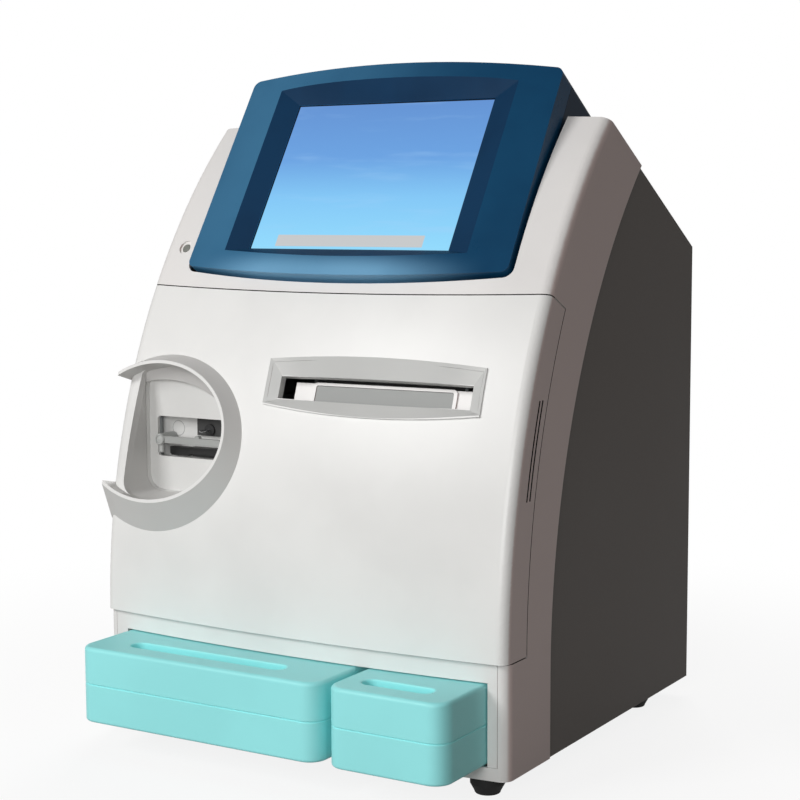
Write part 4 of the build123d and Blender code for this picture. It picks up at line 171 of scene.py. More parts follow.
# %% Finishes
class Finish:
    """One material while it is being put together."""

    materials = []  # all that this file makes, to tell a dressed node from a bare one

    def __init__(self, name):
        self.material = bpy.data.materials.new(name)
        Finish.materials.append(self.material)
        self.material.use_nodes = True
        self.tree = self.material.node_tree
        self.tree.nodes.clear()
        self.output = self.tree.nodes.new("ShaderNodeOutputMaterial")
        self.shader = self.tree.nodes.new("ShaderNodeBsdfPrincipled")
        self.tree.links.new(self.shader.outputs[0], self.output.inputs["Surface"])

    def feed(self, socket, value):
        if isinstance(value, Signal):
            self.tree.links.new(value.socket, socket)
        elif value is not None:
            socket.default_value = value

    def node(self, kind, settings=None, sockets=None, out=0):
        made = self.tree.nodes.new(kind)
        for key, value in (settings or {}).items():
            if key == "stops":
                ramp = made.color_ramp
                while len(ramp.elements) < len(value):
                    ramp.elements.new(0.5)
                for element, (position, colour) in zip(ramp.elements, value):
                    element.position = position
                    element.color = colour
            else:
                setattr(made, key, value)
        for key, value in (sockets or {}).items():
            self.feed(made.inputs[key], value)
        return Signal(self, made.outputs[out])

    def place(self):
        return self.node("ShaderNodeTexCoord", out="Object")

    def noise(self, scale, detail=3.0, rough=0.5, stretch=(1.0, 1.0, 1.0)):
        """Cloudy noise, 0 to 1, with about scale spots to the metre."""
        seat = self.node("ShaderNodeMapping", {}, {"Vector": self.place(), "Scale": stretch})
        sockets = {"Vector": seat, "Scale": scale, "Detail": detail, "Roughness": rough}
        return self.node("ShaderNodeTexNoise", {"noise_dimensions": "3D"}, sockets)

    def along(self, origin, direction):
        """Distance in metres of a point from origin, measured along a direction."""
        gap = self.node("ShaderNodeVectorMath", {"operation": "SUBTRACT"}, {0: self.place(), 1: origin})
        sockets = {0: gap, 1: direction}
        return self.node("ShaderNodeVectorMath", {"operation": "DOT_PRODUCT"}, sockets, out="Value")

    def facing(self, direction):
        """1 where the surface faces a direction, 0 square to it."""
        normal = self.node("ShaderNodeNewGeometry", out="Normal")
        sockets = {0: normal, 1: direction}
        return self.node("ShaderNodeVectorMath", {"operation": "DOT_PRODUCT"}, sockets, out="Value")

    def mix(self, share, first, second):
        """A colour between two others."""
        made = self.tree.nodes.new("ShaderNodeMix")
        made.data_type = "RGBA"
        self.feed(made.inputs[0], share)
        self.feed(made.inputs[6], first)
        self.feed(made.inputs[7], second)
        return Signal(self, made.outputs[2])

    def bump(self, height, depth, strength):
        """Relief of height 0..1, depth metres deep, on the normal."""
        sockets = {"Strength": strength, "Distance": depth, "Height": height}
        self.feed(self.shader.inputs["Normal"], self.node("ShaderNodeBump", {}, sockets))

    def set(self, **sockets):
        for key, value in sockets.items():
            self.feed(self.shader.inputs[key.replace("_", " ")], value)
        return self


def dress(finish, *names):
    """Puts a finish on CAD nodes."""
    for name in names:
        nodes[name].data.materials.clear()
        nodes[name].data.materials.append(finish.material)


print("finishes ready")

# %% [markdown]
# ## Moulded plastic
# Nearly all that shows is moulded plastic with a fine spark-eroded grain. Up close such a
# part is never one colour: the tone drifts a little over a hand's breadth, the gloss changes
# where the mould was polished more, and dust settles on what faces up. One function makes
# this for every plastic, and each part only brings its colour and its gloss.

# %% Moulded plastic
CLOUD_EDGES = (0.35, 0.65)  # noise keeps near its middle, so a mix uses this stretch of it
CLOUD_SCALE = 9.0  # a cloud of tone is about a hand's breadth wide
FINE_STEP = 2.7  # how much finer the second grain is than the first
DUST_GREY = (0.6, 0.59, 0.57, 1.0)
DUST_SCALE = 60.0
DUST_EDGES = (0.45, 0.75)
UP = (0.0, 0.0, 1.0)


def moulded(name, colour, gloss, grain=0.00004, drift=0.04, grain_size=1400.0, dusty=0.06):
    """A moulded plastic: colour, roughness, depth of its grain, drift of its tone and dust."""
    finish = Finish(name)
    cloud = finish.noise(CLOUD_SCALE, 4.0)
    speck = finish.noise(grain_size, 2.0)
    fine = finish.noise(grain_size * FINE_STEP, 2.0)
    darker, lighter = toned(colour, 1 - drift), toned(colour, 1 + drift * 0.6)
    tone = finish.mix(cloud.spread(*CLOUD_EDGES), darker, lighter)
    flecks = finish.noise(DUST_SCALE, 4.0).spread(*DUST_EDGES)
    dust = finish.facing(UP).spread(0.5, 1.0) * flecks
    tone = finish.mix(dust * dusty, tone, DUST_GREY)
    finish.set(Base_Color=tone, Roughness=gloss + (cloud - 0.5) * 0.08 + (speck - 0.5) * 0.1)
    finish.bump(speck * 0.6 + fine * 0.4, grain, 0.7)
    return finish


def painted_light_by_facing(finish, outward, low, high, tone, share=1.0):
    """Lays a second tone over a finish on the faces that look one way, as painted shade on the case's
    right sides and painted highlight on the crests.
    """
    mask = finish.facing(outward).spread(low, high)
    if share != 1.0:
        mask = mask * share
    base = finish.shader.inputs["Base Color"].links[0].from_socket
    finish.set(Base_Color=finish.mix(mask, Signal(finish, base), tone))


print("one way to make every plastic")

# %% [markdown]
# ## The white case and the door
# The case and the door are separate mouldings, so their whites differ by a shade. On the picture their
# right sides are taupe from shade. The lamps here don't give that tone, so painted shade in taupe is
# laid over the faces that look to the right, and holds for this light only.

# %% White plastics
RIGHT_SIDE = (1.0, 0.0, 0.0)
# painted shade: the taupe that the right sides get
PAINTED_SHADE_TAUPE = paint(200, 183, 179)
case_white = moulded("case_white", paint(232, 230, 228), 0.36)
# painted shade on the faces that look to the right
painted_light_by_facing(case_white, RIGHT_SIDE, 0.7, 0.95, PAINTED_SHADE_TAUPE)
door_white = moulded("door_white", paint(234, 234, 232), 0.34)
painted_light_by_facing(door_white, RIGHT_SIDE, 0.9, 0.99, PAINTED_SHADE_TAUPE)
dress(case_white, "front_shell", "base_panel", "printer_plate")
dress(door_white, "door_panel")
print("case and door dressed in two whites")

# %% [markdown]
# ## The ring and the bezel
# The ring and the printer's bezel are greyer mouldings whose rims end in a rounded crest that catches
# the light. The solids have a narrow flat there, so the faces that look straight out get a painted
# highlight, a lighter grey in place of the light on the round.

# %% Ring and bezel
RING_OUT = (-0.071, -0.964, 0.257)  # the way the ring's crest looks
BEZEL_OUT = (0.031, -0.948, 0.317)  # the way the bezel's rim looks
CREST_EDGES = (0.955, 0.985)  # how straight out a face has to look to be crest
# painted highlight: the lighter grey of the crests
CREST_HIGHLIGHT_WHITE = paint(238, 238, 236)
CREST_HIGHLIGHT_SHARE = 0.8
ring_grey = moulded("ring_grey", paint(206, 205, 203), 0.36)
bezel_grey = moulded("bezel_grey", paint(204, 205, 203), 0.4)
# painted highlight on the crests of the ring and the bezel
for finish, outward in ((ring_grey, RING_OUT), (bezel_grey, BEZEL_OUT)):
    painted_light_by_facing(finish, outward, *CREST_EDGES, CREST_HIGHLIGHT_WHITE, CREST_HIGHLIGHT_SHARE)
dress(ring_grey, "sampling_ring")
dress(bezel_grey, "printer_bezel")
print("ring and bezel dressed, with light crests")

# %% [markdown]
# ## The other plastics
# The printer's lid, the sampler's panel and its lever are plain greys. The parts that guide,
# hold or switch something are dark or black, as such parts mostly are. Those inside and at the
# back don't show on the picture, so their tones are guesses.

# %% Other plastics
PLASTICS = (
    ("lid_grey", (146, 148, 146), 0.45, ("printer_lid",)),
    ("panel_grey", (220, 220, 218), 0.42, ("sampler_panel", "sampler_backplate")),
    ("lever_grey", (164, 166, 164), 0.32, ("sample_lever",)),
    ("dark_plastic", (58, 58, 58), 0.5, ("port_plate", "hinge_arms", "print_head", "valve_block")),
    (
        "black_plastic", (30, 30, 31), 0.5,
        (
            "sample_port", "rinse_block", "door_magnet", "power_inlet", "power_rocker",
            "fan_frame", "fan_rotor",
        ),
    ),
    ("pump_white", (226, 226, 222), 0.4, ("pump_block", "pump_rotor", "fluid_nipples")),
)
plastics = {}
for name, tone, gloss, wearers in PLASTICS:
    plastics[name] = moulded(name, paint(*tone), gloss)
    dress(plastics[name], *wearers)
print("other plastics:", sorted(plastics))

# %% [markdown]
# ## The fluid packs
# The two packs are trays with a lid, moulded in a pale turquoise. The lid could be welded on.
# Less of the lamps is mirrored in them than in the case, so their specular level is lower, and
# they get no dust, because a pack is changed often.

# %% Fluid packs
pack_turquoise = moulded("pack_turquoise", paint(158, 240, 241), 0.38, drift=0.03, dusty=0.0)
pack_turquoise.set(Specular_IOR_Level=0.3)
PACKS = ("reagent_pack_tray", "reagent_pack_lid", "rinse_pack_tray", "rinse_pack_lid")
dress(pack_turquoise, *PACKS)
print("pieces of the packs dressed:", len(PACKS))

# %% [markdown]
# ## The blue display frame
# The frame is one blue moulding with light and shade painted into its colour: the bowed face is a mid
# blue with painted shade that deepens it to the right and a painted highlight, a soft sheen, along its
# foot, and the four bevels that lead down to the glass are darkened by painted shade. Two masks need no
# second mesh: the direction in which a face looks tells the bevels from the face, so the mask is made
# of dot products with the frame's own directions, and the sheen is laid out by distance from the middle
# of the glass. The deepening, the sheen and the dark bevels are most likely light on the real frame,
# not paint. Laid into the colour they copy the picture, and they stay where they are when it is seen
# from elsewhere.

# %% Places on the display
SCREEN_TILT = math.radians(32.3)
screen_up = (0.0, math.sin(SCREEN_TILT), math.cos(SCREEN_TILT))
screen_right = (1.0, 0.0, 0.0)
screen_out = (0.0, -math.cos(SCREEN_TILT), math.sin(SCREEN_TILT))
SCREEN_MIDDLE = (0.0, -0.0242, 0.4172)
SCREEN_SIZE = (0.1718, 0.1289)
print("the glass leans back", round(math.degrees(SCREEN_TILT), 1), "degrees")

# %% Bevels of the display frame
BEVEL_SIDEWAYS = (0.1, 0.24)  # how far a face turns sideways before it is bevel
BEVEL_UPRIGHT = (0.06, 0.2)  # and how far up or down
BEVEL_FRONT = (0.55, 0.75)  # only what looks forward can be bevel
frame_blue = Finish("frame_blue")
clouds = frame_blue.noise(14.0, 3.0)
pores = frame_blue.noise(1500.0, 2.0)
sideways = abs(frame_blue.facing(screen_right)).spread(*BEVEL_SIDEWAYS)
upright = abs(frame_blue.facing(screen_up)).spread(*BEVEL_UPRIGHT)
front_side = frame_blue.facing(screen_out).spread(*BEVEL_FRONT)
# shade is the mask of the bevels, where painted shade goes
shade = (sideways + upright).spread(0.0, 1.0, soft=False) * front_side
print("bevels told from the face by three directions")

# %% Face of the display frame
# painted shade: the face darkens towards the right over this stretch
DEEPENING = (-0.11, 0.09)  # metres across from the middle of the glass
# painted highlight: the sheen along the foot lies within these stretches
SHEEN_FOOT = (-0.088, -0.068)  # metres up from it
SHEEN_LEFT = (-0.135, -0.06)
SHEEN_RIGHT = (0.03, 0.125)
SHEEN_SHARE = 0.9
frame_height = frame_blue.along(SCREEN_MIDDLE, screen_up)
frame_across = frame_blue.along(SCREEN_MIDDLE, screen_right)


def cloudy_blue(darker, lighter):
    """A blue that drifts between two tones."""
    return frame_blue.mix(clouds.spread(*CLOUD_EDGES), darker, lighter)


middle_blue = cloudy_blue(paint(52, 106, 142), paint(58, 113, 149))
# painted shade: the deep blue of the right part of the face
shaded_blue = cloudy_blue(paint(8, 60, 94), paint(12, 67, 102))
# painted highlight: the light blue of the sheen
sheen_highlight_blue = cloudy_blue(paint(112, 166, 202), paint(118, 172, 208))
face_tone = frame_blue.mix(frame_across.spread(*DEEPENING), middle_blue, shaded_blue)
sheen = (
    frame_height.spread(*SHEEN_FOOT, 1.0, 0.0)
    * frame_across.spread(*SHEEN_LEFT)
    * frame_across.spread(*SHEEN_RIGHT, 1.0, 0.0)
)
face_tone = frame_blue.mix(sheen * SHEEN_SHARE, face_tone, sheen_highlight_blue)
# painted shade: the dark blue of the four bevels
bevel_shade_blue = cloudy_blue(paint(0, 44, 76), paint(2, 50, 84))
smudges = frame_blue.noise(45.0, 5.0, 0.6)
frame_blue.set(
    Base_Color=frame_blue.mix(shade, face_tone, bevel_shade_blue),
    Roughness=0.3 + shade * 0.3 + (smudges - 0.5) * 0.12 + (pores - 0.5) * 0.08,
    Specular_IOR_Level=0.14,
)
frame_blue.bump(pores, 0.00003, 0.6)
housing_navy = moulded("housing_navy", paint(12, 36, 56), 0.5, dusty=0.02)
housing_navy.set(Specular_IOR_Level=0.2)
dress(frame_blue, "display_bezel")
dress(housing_navy, "display_housing")
print("display frame dressed in two blues")

# %% [markdown]
# ## The lit screen
# The screen shows a plain picture: a sky that runs from a deep to a pale blue, with thin
# level streaks, and one pale bar near its foot. A thin black border runs round it. The
# picture lies in the glass's own plane, so its place is measured along the plane's two
# directions, as a share of its height and width.

# %% Sky on the screen
lit_screen = Finish("lit_screen")
height = lit_screen.along(SCREEN_MIDDLE, screen_up) / SCREEN_SIZE[1] + 0.5
across = lit_screen.along(SCREEN_MIDDLE, screen_right) / SCREEN_SIZE[0] + 0.5
sky = lit_screen.node(
    "ShaderNodeValToRGB",
    {
        "stops": [
            (0.0, paint(142, 216, 250)),
            (0.35, paint(126, 196, 243)),
            (0.62, paint(100, 158, 222)),
            (1.0, paint(92, 142, 208)),
        ]
    },
    {"Fac": height},
)
streaks = lit_screen.noise(14.0, 3.0, stretch=(1.0, 1.0, 9.0))
sky = lit_screen.mix(streaks.spread(0.5, 0.8) * 0.25, sky, paint(160, 205, 245))
print("sky laid over", SCREEN_SIZE, "m")

# %% Bar and border of the screen
BAR_RISE = (0.022, 0.102, 0.004)  # from, to and soft edge, as shares of the height
BAR_SPAN = (0.125, 0.865, 0.003)  # the same of the width
PICTURE_RISE = (0.005, 0.995, 0.0025)
PICTURE_SPAN = (0.004, 0.996, 0.002)
BLACK = (0.0, 0.0, 0.0, 1.0)
GLASS_BLACK = (0.01, 0.012, 0.015, 1.0)


def band(signal, low, high, edge):
    """1 between two values of a signal, 0 outside them, with soft edges."""
    return signal.spread(low, low + edge) * signal.spread(high - edge, high, 1.0, 0.0)


bar = band(height, *BAR_RISE) * band(across, *BAR_SPAN)
sky = lit_screen.mix(bar, sky, paint(196, 198, 199))
picture = band(across, *PICTURE_SPAN) * band(height, *PICTURE_RISE)
sky = lit_screen.mix(picture, BLACK, sky)
lit_screen.set(Base_Color=GLASS_BLACK, Roughness=0.16, Emission_Color=sky, Emission_Strength=1.0)
dress(lit_screen, "touch_glass")
print("screen lit")

# %% [markdown]
# ## Painted covers
# The cover behind the white front, the rear panel and the tray below would be folded sheet
# with a coarse dark coat. A coat is a grain on a colour too, so the plastic's function makes
# it, on the cover with a deeper and wider grain.

# %% Painted covers
cover_paint = moulded(
    "cover_paint", paint(84, 78, 73), 0.55, grain=0.00006, grain_size=1100.0, dusty=0.025
)
tray_paint = moulded("tray_paint", paint(70, 68, 66), 0.6)
dress(cover_paint, "rear_cover", "rear_panel")
dress(tray_paint, "bottom_tray")
print("covers painted")

# %% [markdown]
# ## Bare metal
# Inside and at the back are parts that would be zinc-coated sheet, ground steel and pressed
# metal. Rolling and grinding leave fine marks along one direction, so the noise is drawn out
# that way and changes the gloss more than the colour.


# %% Bare metal
def metal(name, colour, rough, stretch=(1.0, 1.0, 1.0), streak=600.0):
    """Bare metal with rolling marks along one direction."""
    finish = Finish(name)
    marks = finish.noise(streak, 2.0, stretch=stretch)
    cloud = finish.noise(30.0, 5.0)
    finish.set(
        Base_Color=finish.mix(cloud.spread(0.35, 0.7), toned(colour, 0.82), colour),
        Metallic=1.0,
        Roughness=rough + (marks - 0.5) * 0.25,
    )
    finish.bump(marks, 0.00001, 0.5)
    return finish


zinc_sheet = metal("zinc_sheet", paint(186, 190, 192), 0.38, (1.0, 1.0, 0.06))
ground_steel = metal("ground_steel", paint(205, 206, 208), 0.25, (1.0, 0.05, 1.0), 2500.0)
supply_metal = metal("supply_metal", paint(190, 192, 194), 0.42, (0.06, 1.0, 1.0))
dress(
    zinc_sheet, "bulkhead", "deck", "bay_back", "bay_rails", "sampler_channel",
    "printer_frame", "hinge_brackets",
)
dress(ground_steel, "probe_needle", "hinge_pins", "door_strike", "data_ports", "fan_guard")
dress(supply_metal, "power_supply", "lcd_panel")
print("three metals made")

# %% [markdown]
# ## Rubber, paper and the small parts inside
# What is left are the feet, the status lamp, the rollers, the hose, the paper, the motor and
# the works. Most of them don't show on the picture and are guesses. They differ from the case
# in colour, gloss and depth of grain: rubber is dull with a coarse grain, a lens or a clear
# block is smooth.

# %% Rubber, paper, clear and small parts
motor_black = moulded("motor_black", paint(40, 40, 42), 0.4)
dress(motor_black, "pump_motor")
foot_rubber = moulded("foot_rubber", paint(17, 17, 18), 0.75, grain=0.0001, grain_size=800.0)
roller_rubber = moulded("roller_rubber", paint(44, 44, 46), 0.7)
hose_rubber = moulded("hose_rubber", paint(206, 190, 160), 0.4)
dress(foot_rubber, "rubber_feet")
dress(roller_rubber, "platen_roller")
dress(hose_rubber, "pump_hose")
paper_roll = moulded("paper_roll", paint(238, 238, 232), 0.7)
dress(paper_roll, "paper_roll")
block_clear = moulded("block_clear", paint(188, 204, 208), 0.15)
electrode_blue = moulded("electrode_blue", paint(84, 112, 160), 0.25)
roller_red = moulded("roller_red", paint(190, 60, 50), 0.3)
board_green = moulded("board_green", paint(40, 110, 66), 0.35)
lamp_lens = moulded("lamp_lens", paint(126, 128, 122), 0.18)
dress(block_clear, "measuring_chamber")
dress(electrode_blue, "electrodes")
dress(roller_red, "pump_roller_a", "pump_roller_b", "pump_roller_c")
dress(board_green, "circuit_boards")
dress(lamp_lens, "status_lamp")

# %% [markdown]
# ## Is every node dressed?
# A node that no finish has reached would keep the plain colour it came with, and inside the
# machine nobody would see it. So the script stops there and names it.

# %% Count of bare nodes
bare = sorted(name for name, thing in nodes.items() if thing.data.materials[0] not in Finish.materials)
print("nodes in all:", len(nodes), "nodes without a finish of this file:", bare)
if bare:
    raise RuntimeError("these nodes have no finish: " + ", ".join(bare))

# %% [markdown]
# ## Dark gaps
# The seam round the door, the grip slots and the seams of the packs are dark lines on the picture,
# where shade falls into the gaps. A black seal round the door and a shaded weld on the packs could
# explain them, but both are guesses. Only the walls of a gap would show them, so the walls get a
# second finish, a dark one that is painted shade.
# They are found by where they lie and by which way they face, and nothing is added to a gap
# that could rub when the door swings.

# %% Gap walls
# painted shade: near black for the gap walls of the case and the door
gap_shade_black = moulded("gap_shade_black", paint(34, 34, 34), 0.8, grain=0.0001, grain_size=900.0)
gap_shade_black.set(Specular_IOR_Level=0.1)
# painted shade: deep turquoise for the seam of the packs
pack_seam_shade = moulded("pack_seam_shade", paint(24, 84, 88), 0.6)
pack_seam_shade.set(Specular_IOR_Level=0.1)


def line_gap(name, finish, chosen):
    """Gives the faces of a node that a test of centre and normal picks a second finish."""
    mesh = nodes[name].data
    mesh.materials.append(finish.material)
    picked = [face for face in mesh.polygons if chosen(face.center, face.normal)]
    for face in picked:
        face.material_index = 1
    return len(picked)


print("two dark finishes for gaps")

# %% Where the walls lie
LEVEL = 0.8  # a face is level when its normal points up or down by more than this
SQUARE_ON = 0.85  # and looks to the front or the rear by more than this
GAP_FOOT = 0.088  # between these two heights lies the gap below the door
DOOR_FOOT = 0.095
ARCH_HEIGHTS = (0.318, 0.348)  # and between these the gap above it, which follows an arch
DOOR_HEAD = 0.322
FRONT_PART = -0.055  # only what lies in front of this faces the door
FLANGE_X = 0.16  # the flanges beside the door start this far out
FLANGE_HEIGHTS = (0.1, 0.335)
SLOT_X = 0.158
SLOT_HEIGHTS = (0.18, 0.28)
SLOT_SETBACK = (0.016, 0.0255)  # how far behind the front line a slot's walls lie
FRONT_RADIUS = 0.505  # the front bows back on this radius
FRONT_KNEE = 0.0924  # above this height
FRONT_FACE = -0.131
print("walls of the gaps placed by", len(ARCH_HEIGHTS + FLANGE_HEIGHTS + SLOT_HEIGHTS), "heights")


# %% Tests for the walls
def shell_gap(centre, normal):
    in_arch = ARCH_HEIGHTS[0] < centre.z < ARCH_HEIGHTS[1] and centre.y < FRONT_PART
    on_flange = abs(centre.x) > FLANGE_X and FLANGE_HEIGHTS[0] < centre.z < FLANGE_HEIGHTS[1]
    in_foot = GAP_FOOT < centre.z < DOOR_FOOT
    return (
        (normal.z < -LEVEL and in_arch)
        or (normal.y < -SQUARE_ON and on_flange)
        or (normal.z > LEVEL and in_foot)
    )


def front_line(height):
    """Where the bowed front stands at the case's side, at a height."""
    rise = max(height - FRONT_KNEE, 0.0)
    return FRONT_FACE + FRONT_RADIUS - math.sqrt(FRONT_RADIUS**2 - rise**2)


def slot_wall(centre, normal):
    setback = centre.y - front_line(centre.z)
    in_depth = SLOT_SETBACK[0] < setback < SLOT_SETBACK[1]
    in_height = SLOT_HEIGHTS[0] < centre.z < SLOT_HEIGHTS[1]
    return abs(normal.x) < 0.4 and centre.x > SLOT_X and in_depth and in_height


def door_gap(centre, normal):
    head = normal.z > LEVEL and centre.z > DOOR_HEAD
    foot = normal.z < -LEVEL and centre.z < DOOR_FOOT
    rear = normal.y > SQUARE_ON and abs(centre.x) > FLANGE_X
    return head or foot or rear or slot_wall(centre, normal)


def base_gap(centre, normal):
    return normal.z > LEVEL and centre.z > GAP_FOOT


# the faces at the packs' seam that get painted shade
def pack_seam_gap(centre, normal):
    return abs(normal.z) > 0.9 and abs(centre.z - PACK_SEAM) < SEAM_REACH


PACK_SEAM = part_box("reagent_pack_lid")[0].z
SEAM_REACH = 0.001
print("the seam of the packs lies at", round(PACK_SEAM, 4))

# %% Line the gaps
for name, chosen in (("front_shell", shell_gap), ("door_panel", door_gap), ("base_panel", base_gap)):
    print(name, "faces lined:", line_gap(name, gap_shade_black, chosen))
for name in PACKS:
    print(name, "faces lined:", line_gap(name, pack_seam_shade, pack_seam_gap))

# %% [markdown]
# ## Small fittings
# Screws, caps and contacts are turned or cut parts, so each is made the way it would be made:
# a profile spun about its axis, or a block with its edges broken. Every maker works around
# the origin first and then carries the mesh to its place, so the finished object itself stays
# unturned and unscaled.


# %% From a bmesh to a piece
def finished(name, maker, finish, body, smooth=True):
    """Turns a bmesh into a piece that rides on a body."""
    bmesh.ops.recalc_face_normals(maker, faces=maker.faces)
    for face in maker.faces:
        face.smooth = smooth
    mesh = bpy.data.meshes.new(name)
    maker.to_mesh(mesh)
    maker.free()
    mesh.materials.append(finish.material)
    piece = bpy.data.objects.new(name, mesh)
    bpy.context.scene.collection.objects.link(piece)
    if smooth:
        split = piece.modifiers.new("split", "EDGE_SPLIT")
        split.split_angle = math.radians(35.0)
    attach(piece, body)
    return piece


def joined(maker, part):
    """Adds one bmesh to another."""
    mesh = bpy.data.meshes.new("shape")
    part.to_mesh(mesh)
    part.free()
    maker.from_mesh(mesh)
    bpy.data.meshes.remove(mesh)


# %% Turned parts and blocks
def turned(maker, profile, seat, steps=32):
    """Spins a profile of (radius, height) pairs about Z and carries it to its seat."""
    part = bmesh.new()
    line = [part.verts.new((radius, 0.0, height)) for radius, height in profile]
    edges = [part.edges.new(pair) for pair in zip(line, line[1:])]
    bmesh.ops.spin(
        part,
        geom=line + edges,
        cent=(0.0, 0.0, 0.0),
        axis=(0.0, 0.0, 1.0),
        angle=math.tau,
        steps=steps,
        use_merge=True,
    )
    bmesh.ops.remove_doubles(part, verts=part.verts, dist=0.000001)
    bmesh.ops.transform(part, matrix=seat, verts=part.verts)
    joined(maker, part)


def block(maker, size, seat, edge):
    """A block with its edges broken."""
    made = bmesh.ops.create_cube(maker, size=1.0, matrix=seat @ Matrix.Diagonal((*size, 1.0)))
    edges = list({line for vert in made["verts"] for line in vert.link_edges})
    bmesh.ops.bevel(
        maker,
        geom=edges,
        offset=edge,
        segments=2,
        profile=0.5,
        affect="EDGES",
        clamp_overlap=True,
        material=-1,
    )


def facing_seat(place, outward):
    """A seat at a place whose Z looks outward."""
    turn = Vector(outward).to_track_quat("Z", "Y").to_matrix().to_4x4()
    return Matrix.Translation(Vector(place)) @ turn


BACK = (0.0, 1.0, 0.0)
FRONT = (0.0, -1.0, 0.0)
SCREW_HEAD = [
    (0.0, 0.0006), (0.0011, 0.0006), (0.0012, 0.0017), (0.0021, 0.0016),
    (0.0028, 0.0011), (0.0031, 0.0004), (0.0031, 0.0), (0.0015, 0.0), (0.0, 0.0),
]
print("makers ready")

# %% [markdown]
# ## Screws at the back
# The back doesn't show on the picture. A panel and a fan guard there would be held by small
# pan-head screws in rows, so each head is a spun profile with a low dome and a recess, and all
# the heads of one part are one mesh.

# %% Screws of the rear panel and the fan
SCREW_COLUMNS = (-0.158, 0.158)
SCREW_ROWS = (0.03, 0.135, 0.24, 0.345)
TOP_ROW = 0.352
TOP_COLUMNS = (-0.08, 0.0, 0.08)
FAN_SCREW_INSET = 0.0045  # from the edge of the guard
FAN_SCREW_SUNK = 0.0004
plated_steel = metal("plated_steel", paint(176, 178, 180), 0.3)
rear_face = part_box("rear_panel")[1].y
screws = bmesh.new()
for x in SCREW_COLUMNS:
    for z in SCREW_ROWS:
        turned(screws, SCREW_HEAD, facing_seat((x, rear_face, z), BACK))
for x in TOP_COLUMNS:
    turned(screws, SCREW_HEAD, facing_seat((x, rear_face, TOP_ROW), BACK))
rear_screws = finished("rear_screws", screws, plated_steel, "housing")
fan_low, fan_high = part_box("fan_guard")
fan_screws = bmesh.new()
for x in (fan_low.x + FAN_SCREW_INSET, fan_high.x - FAN_SCREW_INSET):
    for z in (fan_low.z + FAN_SCREW_INSET, fan_high.z - FAN_SCREW_INSET):
        turned(fan_screws, SCREW_HEAD, facing_seat((x, fan_high.y - FAN_SCREW_SUNK, z), BACK))
finished("fan_screws", fan_screws, plated_steel, "housing")
print("rear screws:", len(rear_screws.data.polygons), "faces")

# %% [markdown]
# ## The strip behind the grip slots
# Two narrow slots are cut through the door's right side, and on the picture they are dark from shade. A
# black strip behind them puts a dark sheet where there is only shade: painted shade. A strip of black
# foam glued behind them would do that, and it is a guess. It follows the bow of the front: a plain grid
# is bent along the front's own arc and then given its thickness.

# %% Slot strip
STRIP_FACE = 0.1669  # just inside the door's right wall
STRIP_MIDDLE = 0.232
STRIP_LENGTH = 0.084
STRIP_WIDTH = 0.013
STRIP_THICK = 0.0012
STRIP_SETBACK = 0.0203  # how far behind the front line its middle runs
strip = bmesh.new()
sheet = bmesh.ops.create_grid(strip, x_segments=2, y_segments=16, size=0.5)
for vert in sheet["verts"]:
    tall = STRIP_MIDDLE + vert.co.y * STRIP_LENGTH
    deep = front_line(tall) + STRIP_SETBACK + vert.co.x * STRIP_WIDTH
    vert.co = Vector((STRIP_FACE, deep, tall))
grown = bmesh.ops.extrude_face_region(strip, geom=strip.faces[:])
moved = [thing for thing in grown["geom"] if isinstance(thing, bmesh.types.BMVert)]
bmesh.ops.translate(strip, verts=moved, vec=(-STRIP_THICK, 0.0, 0.0))
# painted shade behind the grip slots
finished("slot_strip", strip, gap_shade_black, "door")
print("slot strip made,", STRIP_LENGTH, "m long")

# %% [markdown]
# ## The mains contacts
# The inlet is a guess too, as it is at the back. Three flat blades stand in it, which would be
# stamped from brass strip and nickel plated, so they are blocks with broken edges. The middle
# one is the earth.

# %% Mains contacts
nickel = metal("nickel", paint(214, 208, 190), 0.22)
BLADE = (0.002, 0.012, 0.006)  # wide, deep and high
BLADE_EDGE = 0.0005
BLADE_DEPTH = 0.172  # where the middle of a blade stands, front to back
BLADE_PLACES = ((0.113, 0.053), (0.12, 0.047), (0.127, 0.053))
blades = bmesh.new()
for x, z in BLADE_PLACES:
    block(blades, BLADE, Matrix.Translation((x, BLADE_DEPTH, z)), BLADE_EDGE)
finished("inlet_blades", blades, nickel, "housing", smooth=False)
print("contacts in the inlet:", len(BLADE_PLACES))

# %% [markdown]
# ## The sampler's small parts
# The lever turns on a hub with a turned cap and carries a stub below it. On the plate behind,
# the picture shows a faint ring, taken here for a blanked hole. The cap is a spun profile with
# a lip, the stub a spun pin, and the ring is spun from a tiny round section.

# %% Lever cap and stub
HUB = (-0.1435, -0.0970, 0.2194)
STUB_PLACE = (HUB[0], -0.0945, HUB[2] - 0.004)
DOWN = (0.0, 0.0, -1.0)
cap_grey = moulded("cap_grey", paint(176, 178, 176), 0.3)
cap = bmesh.new()
CAP_PROFILE = [
    (0.0, 0.0006), (0.0018, 0.0006), (0.0021, 0.0004), (0.0026, 0.0004),
    (0.0029, 0.0011), (0.0036, 0.0011), (0.0040, 0.0007), (0.0041, -0.0004),
]
STUB_PROFILE = [
    (0.0, 0.0), (0.0016, 0.0), (0.002, 0.0005), (0.002, 0.0055), (0.0016, 0.006), (0.0, 0.006),
]
turned(cap, CAP_PROFILE, facing_seat(HUB, FRONT), 48)
turned(cap, STUB_PROFILE, facing_seat(STUB_PLACE, DOWN))
finished("lever_cap", cap, cap_grey, "sample_lever")
print("lever capped")

